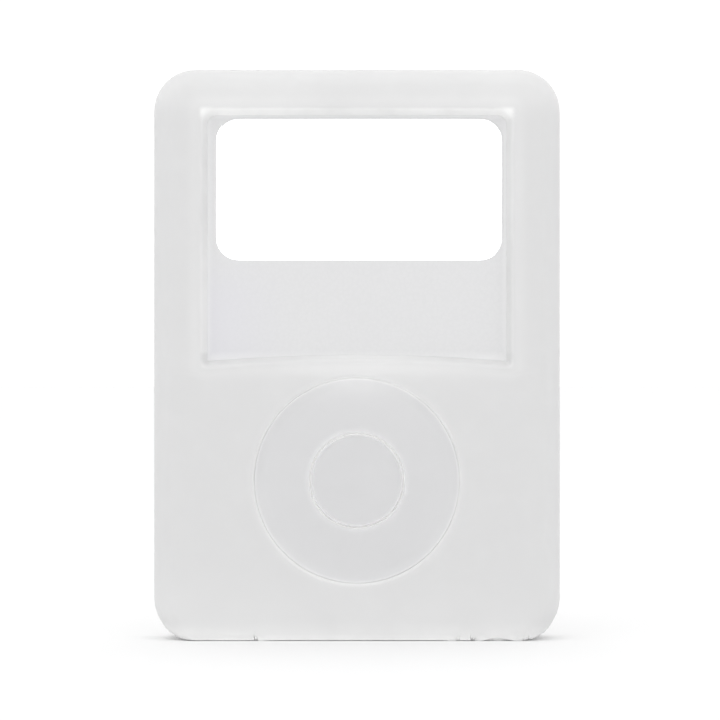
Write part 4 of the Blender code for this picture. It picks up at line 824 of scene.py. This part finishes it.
class Finish:
    """A Principled material and short calls that add to it. Patterns read Object coordinates."""

    def __init__(self, name, colour, roughness=0.5, **sockets):
        self.material = bpy.data.materials.new(name)
        self.material.use_nodes = True
        tree = self.material.node_tree
        self.nodes, self.links = tree.nodes, tree.links
        self.shader = self.nodes["Principled BSDF"]
        self.height = None
        self.set(self.shader, "Base Color", (*colour, 1))
        self.set(self.shader, "Roughness", roughness)
        for socket, value in sockets.items():
            self.set(self.shader, socket.replace("_", " "), value)
        self.place = self.node("TexCoord").outputs["Object"]
        self.base = (*colour, 1)

    def node(self, kind, **inputs):
        """A shader node of a kind, with its sockets set by name."""
        made = self.nodes.new("ShaderNode" + kind)
        for socket, value in inputs.items():
            self.set(made, socket.replace("_", " "), value)
        return made

    def set(self, node, socket, value):
        """Links or sets one of a node's sockets, named or numbered."""
        target = node.inputs[socket]
        if isinstance(value, bpy.types.NodeSocket):
            self.links.new(value, target)
        else:
            target.default_value = value

    def stretched(self, stretch):
        """Object coordinates scaled along each axis."""
        mapping = self.node("Mapping", Vector=self.place, Scale=stretch)
        return mapping.outputs["Vector"]

    def noise(self, scale, detail=3.0, stretch=None, distortion=0.0):
        place = self.place if stretch is None else self.stretched(stretch)
        made = self.node("TexNoise", Vector=place, Scale=scale, Detail=detail, Distortion=distortion)
        return made.outputs["Fac"]

    def cells(self, scale, feature="F1", stretch=None, randomness=1.0, metric="EUCLIDEAN"):
        place = self.place if stretch is None else self.stretched(stretch)
        made = self.node("TexVoronoi")
        made.feature = feature
        if feature == "F1":
            made.distance = metric
        self.set(made, "Vector", place)
        self.set(made, "Scale", scale)
        self.set(made, "Randomness", randomness)
        return made.outputs["Distance"]

    def stripes(self, scale, direction="X", distortion=0.0, profile="SIN"):
        made = self.node("TexWave", Vector=self.place, Scale=scale, Distortion=distortion)
        made.bands_direction = direction
        made.wave_profile = profile
        return made.outputs["Fac"]

    def between(self, value, low, high, start=0.0, end=1.0):
        """value, as it goes from start to end, eased onto low to high."""
        made = self.node("MapRange", Value=value)
        made.interpolation_type = "SMOOTHSTEP"
        names = ("From Min", "From Max", "To Min", "To Max")
        for socket, number in zip(names, (start, end, low, high)):
            self.set(made, socket, number)
        return made.outputs["Result"]

    def combine(self, a, b, kind):
        """Two values worked into one by a kind of sum."""
        made = self.node("Math")
        made.operation = kind
        self.set(made, 0, a)
        self.set(made, 1, b)
        return made.outputs[0]

    def tint(self, share, colour):
        """Lays a colour over the base by share, which runs from 0 to 1."""
        made = self.node("Mix")
        made.data_type = "RGBA"
        self.set(made, MIX_SHARE, share)
        self.set(made, MIX_UNDER, self.base)
        self.set(made, MIX_OVER, (*colour, 1))
        self.base = made.outputs[MIX_RESULT]
        self.set(self.shader, "Base Color", self.base)

    def rough(self, value, low, high):
        """Roughness from low to high as a pattern's value goes from 0.3 to 0.7."""
        self.set(self.shader, "Roughness", self.between(value, low, high, 0.3, 0.7))

    def bump(self, height, strength, distance):
        """Adds a height to the surface's relief. distance is the full height's depth in metres."""
        made = self.node("Bump", Height=height, Strength=strength, Distance=distance)
        if self.height is not None:
            self.set(made, "Normal", self.height)
        self.height = made.outputs["Normal"]
        self.set(self.shader, "Normal", self.height)

    def attribute(self, name):
        """The value that a piece stores under a name."""
        made = self.node("Attribute")
        made.attribute_name = name
        return made.outputs["Fac"]


def shade(colour, factor):
    """A colour times a factor, at most 1 in each channel."""
    return tuple(min(1.0, channel * factor) for channel in colour)


def silicone(name, dark, light):
    """Milky soft rubber: painted light stored on its points from dark to light, a cloudy body, a painted
    glow on thin edges and a satin grain.
    """
    made = Finish(
        name, dark, 0.5, Subsurface_Weight=0.25, Subsurface_Scale=0.7 * MM,
        Subsurface_Radius=(1.0, 1.0, 1.0), IOR=1.41, Specular_IOR_Level=0.35,
    )
    made.shader.subsurface_method = "BURLEY"
    painted_light = made.attribute("painted_light")
    clouds = made.between(made.noise(52, 3.0, distortion=0.4), 0.0, 0.5, 0.35, 0.75)
    specks = made.between(made.noise(330, 4.0), 0.0, 0.3, 0.4, 0.8)
    # Painted light: the stored value lightens the rubber, and past 1 a painted glow in colour and faint
    # emission lights thin edges though they are no lamp
    painted_glow = made.between(painted_light, 0.0, 1.0, 1.0, 2.0)
    made.tint(painted_light, light)
    made.tint(clouds, dark)
    made.tint(specks, shade(dark, 1.05))
    made.tint(painted_glow, PAINTED_GLOW_COLOUR)
    made.set(made.shader, "Emission Color", painted_glow)
    made.set(made.shader, "Emission Strength", PAINTED_GLOW_STRENGTH)
    made.rough(made.noise(700, 3.0), 0.44, 0.58)
    made.bump(made.noise(5200, 2.0), 0.2, 0.02 * MM)
    made.bump(made.noise(160, 2.0), 0.2, 0.04 * MM)
    return made


def moulded(name, colour, roughness, grain=3600, relief=0.25, cloud=0.96, **sockets):
    """Moulded plastic: a spark-eroded grain, slightly uneven gloss and faint flow clouds."""
    made = Finish(name, colour, roughness, **sockets)
    flow = made.between(made.noise(90, 3.0, distortion=0.6), 0.0, 0.6, 0.35, 0.75)
    pits = made.between(made.cells(grain * 0.6), 0.0, 0.25, 0.2, 0.8)
    made.tint(flow, shade(colour, cloud))
    made.tint(pits, shade(colour, 0.93))
    made.rough(made.noise(420, 4.0), roughness - 0.07, roughness + 0.07)
    made.bump(made.noise(grain, 3.0), relief, 0.015 * MM)
    return made


def brushed(name, colour, roughness, stretch, scale=900, relief=0.2, **sockets):
    """Metal with fine lines along one way, uneven gloss and a few deeper scratches."""
    made = Finish(name, colour, roughness, Metallic=1.0, **sockets)
    lines = made.noise(scale, 4.0, stretch)
    made.tint(made.between(lines, 0.0, 0.5, 0.35, 0.7), shade(colour, 0.86))
    made.tint(made.between(made.noise(70, 3.0), 0.0, 0.35, 0.4, 0.8), shade(colour, 0.92))
    made.rough(made.noise(240, 4.0), roughness - 0.05, roughness + 0.08)
    made.bump(lines, relief, 0.006 * MM)
    return made


def make_finishes():
    """One finish a slot of the record."""
    made = {}
    made["white_plastic"] = moulded("white_plastic_finish", (0.705, 0.705, 0.712), 0.38, Coat_Weight=0.15)
    made["black_plastic"] = moulded("black_plastic_finish", (0.03, 0.03, 0.034), 0.42, cloud=1.4)
    made["connector_resin"] = moulded("connector_resin_finish", (0.72, 0.68, 0.56), 0.45)
    made["chip_resin"] = moulded("chip_resin_finish", (0.035, 0.036, 0.04), 0.5, 6200, 0.4, 1.5)
    made["coil_ferrite"] = moulded("ferrite_finish", (0.11, 0.11, 0.12), 0.62, 4200, 0.6, 1.3)
    made["tantalum"] = moulded("tantalum_finish", (0.66, 0.34, 0.05), 0.4, 5200, 0.3)
    made["insulating_film"] = moulded("insulating_film_finish", (0.09, 0.09, 0.1), 0.3, 2600, 0.15, 1.3)
    made["hold_warning"] = moulded("hold_warning_finish", (0.85, 0.23, 0.03), 0.35, 5000, 0.2)
    made["light_guide"] = moulded(
        "light_guide_finish", (0.9, 0.92, 0.94), 0.2, 2400, 0.1, 0.98, Transmission_Weight=0.3
    )

    foam = moulded("foam_finish", (0.05, 0.05, 0.055), 0.9, 2600, 0.6, 1.6)
    foam.bump(foam.cells(1500), 0.9, 0.12 * MM)
    made["foam"] = foam

    steel = brushed("polished_steel_finish", (0.76, 0.76, 0.77), 0.13, (1.0, 1.0, 0.02), 1500, 0.05)
    scratches = steel.between(steel.cells(240, "DISTANCE_TO_EDGE", (1.0, 1.0, 0.12)), 1.0, 0.0, 0.0, 0.012)
    steel.bump(scratches, 0.08, 0.004 * MM)
    steel.tint(steel.combine(scratches, 0.12, "MULTIPLY"), (0.62, 0.62, 0.63))
    made["polished_steel"] = steel
    made["spring_steel"] = brushed("spring_steel_finish", (0.6, 0.6, 0.62), 0.26, (0.03, 1.0, 1.0), 2200)
    made["crystal_can"] = brushed("crystal_can_finish", (0.72, 0.71, 0.66), 0.22, (1.0, 0.05, 1.0), 1800)
    made["gold_contact"] = brushed("gold_contact_finish", (0.86, 0.6, 0.22), 0.2, (1.0, 1.0, 0.04), 2600)
    frame_metal = brushed("frame_metal_finish", (0.48, 0.49, 0.51), 0.42, (1.0, 1.0, 1.0), 2400, 0.4)
    frame_metal.bump(frame_metal.cells(3000), 0.4, 0.02 * MM)
    made["frame_metal"] = frame_metal

    foil = Finish("battery_foil_finish", (0.68, 0.68, 0.7), 0.3, Metallic=0.85, Coat_Weight=0.3)
    creases = foil.noise(130, 5.0, distortion=1.6)
    foil.tint(foil.between(creases, 0.0, 0.5, 0.4, 0.75), (0.56, 0.56, 0.59))
    foil.rough(foil.noise(300, 3.0), 0.24, 0.4)
    foil.bump(creases, 0.5, 0.12 * MM)
    foil.bump(foil.cells(1100, "DISTANCE_TO_EDGE"), 0.2, 0.03 * MM)
    made["battery_foil"] = foil

    board = Finish("board_resin_finish", (0.015, 0.12, 0.06), 0.28, Coat_Weight=0.5, Coat_Roughness=0.1)
    tracks = board.cells(420, "F1", (1.0, 1.0, 1.0), 0.9, "CHEBYCHEV")
    board.tint(board.between(tracks, 1.0, 0.0, 0.4, 0.46), (0.03, 0.2, 0.1))
    board.tint(board.between(board.cells(900), 1.0, 0.0, 0.1, 0.14), (0.75, 0.58, 0.26))
    board.rough(board.noise(500, 3.0), 0.24, 0.36)
    board.bump(tracks, 0.3, 0.03 * MM)
    made["board_resin"] = board

    film = Finish("flex_film_finish", (0.6, 0.27, 0.05), 0.25, Coat_Weight=0.4)
    copper = film.stripes(560, "X", 0.3)
    film.tint(film.between(copper, 0.0, 0.75, 0.5, 0.62), (0.42, 0.15, 0.03))
    film.rough(film.noise(400, 3.0), 0.2, 0.34)
    film.bump(copper, 0.3, 0.015 * MM)
    made["flex_film"] = film

    for name, colour in (("wire_black", (0.02, 0.02, 0.02)), ("wire_red", (0.5, 0.03, 0.02))):
        made[name] = moulded(name + "_finish", colour, 0.45, 3000, 0.3, 1.3)

    lit = Finish("lit_screen_finish", (0.9, 0.91, 0.92), 0.25, Emission_Color=(1, 1, 1, 1))
    glow = lit.between(lit.noise(40, 2.0), 1.1, 1.16, 0.3, 0.7)
    lit.set(lit.shader, "Emission Strength", glow)
    lit.tint(lit.between(lit.stripes(1250, "X"), 0.0, 0.1), (0.86, 0.87, 0.9))
    made["display_glass"] = lit

    clear = Finish("clear_lens_finish", (0.97, 0.975, 0.98), 0.03, Transmission_Weight=1.0, IOR=1.3)
    clear.rough(clear.noise(200, 4.0), 0.02, 0.05)
    clear.bump(clear.noise(60, 2.0), 0.04, 0.02 * MM)
    made["clear_lens"] = clear
    made["screen_border"] = moulded("screen_border_finish", (0.9, 0.9, 0.905), 0.3, 3600, 0.05, 0.99)
    made["silicone"] = silicone("sleeve_finish", SLEEVE_DARK, SLEEVE_PAINTED_LIGHT)
    return made


def make_cover_finish():
    """The front cover's plastic: painted light by the window's walls over the shade there, faintly cooler
    towards the lower left.
    """
    made = moulded("cover_finish", COVER_COLOUR, 0.36, 3600, 0.05, 0.99, Coat_Weight=0.15)
    parts = made.node("SeparateXYZ", Vector=made.place)
    across = made.combine(parts.outputs["X"], 0.0, "ABSOLUTE")
    height = parts.outputs["Z"]
    wall = window_half_width
    # Painted light along the window's walls, its sides, top and foot, over the shade in the recess
    side = made.between(across, 0.0, 1.0, wall - 1.5 * MM, wall - 0.2 * MM)
    head = made.between(height, 0.0, 1.0, window_top - 1.3 * MM, window_top - 0.2 * MM)
    foot = made.between(height, 1.0, 0.0, window_bottom + 0.6 * MM, window_bottom + 2.2 * MM)
    near = made.combine(made.combine(side, head, "MAXIMUM"), foot, "MAXIMUM")
    left = made.between(parts.outputs["X"], 0.5, 0.0, -wall, -wall / 3)
    low = made.between(height, 1.0, 0.0, window_bottom + 8 * MM, screen_low[2] + 2 * MM)
    made.tint(made.combine(left, low, "MULTIPLY"), (0.69, 0.683, 0.735))
    made.tint(made.combine(near, 0.6, "MULTIPLY"), (0.86, 0.86, 0.865))
    return made


def make_gasket_finish():
    """The pale foam under the screen's cover."""
    made = moulded("gasket_finish", (0.86, 0.86, 0.86), 0.8, 2600, 0.4, 0.97)
    made.bump(made.cells(1500), 0.5, 0.08 * MM)
    return made


def dress(piece, finish):
    """Gives a piece one finish in place of what it had."""
    piece.data.materials.clear()
    piece.data.materials.append(finish.material)


sleeve = make_sleeve()
# Painted light, stored on the points of the sleeve and of the skins over the wheel and the button
share_attribute(sleeve, "painted_light", rubber_painted_light(points_of(sleeve)))
wheel_skin = make_wheel_pad()
button_skin = make_button_pad()
for skin in (wheel_skin, button_skin):
    share_attribute(skin, "painted_light", pad_painted_light(points_of(skin)))
lens = make_lens()
knob = make_hold_knob()
ring = make_jack_bezel()

finishes = make_finishes()
pad_finish = silicone("pad_finish", PAD_DARK, PAD_PAINTED_LIGHT)
for node_name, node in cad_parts.items():
    slot_name = node.data.materials[0].name.split(".")[0]
    dress(node, finishes[slot_name])
dress(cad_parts["front_cover"], make_cover_finish())
dress(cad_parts["display_gasket"], make_gasket_finish())
dress(sleeve, finishes["silicone"])
dress(wheel_skin, pad_finish)
dress(button_skin, pad_finish)
dress(lens, finishes["clear_lens"])
print_border(lens, finishes["screen_border"])
dress(knob, finishes["white_plastic"])
dress(ring, finishes["polished_steel"])

# ---------------------------------------------------------------- camera and light


def make_floor():
    """A plain pale floor, very slightly uneven in colour."""
    bpy.ops.mesh.primitive_plane_add(size=8.0)
    floor = bpy.context.object
    floor.name = "floor"
    paint = Finish("floor_paint", (0.9, 0.9, 0.9), 0.85)
    paint.tint(paint.between(paint.noise(9, 2.0), 0.0, 0.3), (0.895, 0.895, 0.897))
    dress(floor, paint)


def make_light():
    """White surroundings and one large soft lamp above, a little to the left and in front."""
    world = bpy.data.worlds.new("studio")
    world.use_nodes = True
    surround = world.node_tree.nodes["Background"]
    surround.inputs["Color"].default_value = (1, 1, 1, 1)
    surround.inputs["Strength"].default_value = SURROUND_STRENGTH
    bpy.context.scene.world = world
    lamp = bpy.data.lights.new("soft_lamp", "AREA")
    lamp.shape = "SQUARE"
    lamp.size = LAMP_SIZE
    lamp.energy = LAMP_POWER
    made = bpy.data.objects.new("soft_lamp", lamp)
    made.location = LAMP_PLACE
    right, ahead, up = LAMP_AIM
    tilt = math.atan2(math.hypot(right, ahead), -up)
    made.rotation_euler = (tilt, 0, math.atan2(-right, ahead))
    bpy.context.scene.collection.objects.link(made)
    bpy.context.scene.view_settings.view_transform = "Standard"


def make_camera():
    """A level camera a little right of the middle, far enough that the sides hardly converge."""
    data = bpy.data.cameras.new("camera")
    data.sensor_width = SENSOR_WIDTH
    data.lens = SENSOR_WIDTH * (CAMERA_DISTANCE - EDGE_RADIUS) / VIEW_WIDTH
    camera = bpy.data.objects.new("camera", data)
    camera.location = (CAMERA_ACROSS, -CAMERA_DISTANCE, CAMERA_HEIGHT)
    camera.rotation_euler = (math.pi / 2, 0, 0)
    bpy.context.scene.collection.objects.link(camera)
    bpy.context.scene.camera = camera


make_floor()
make_light()
make_camera()
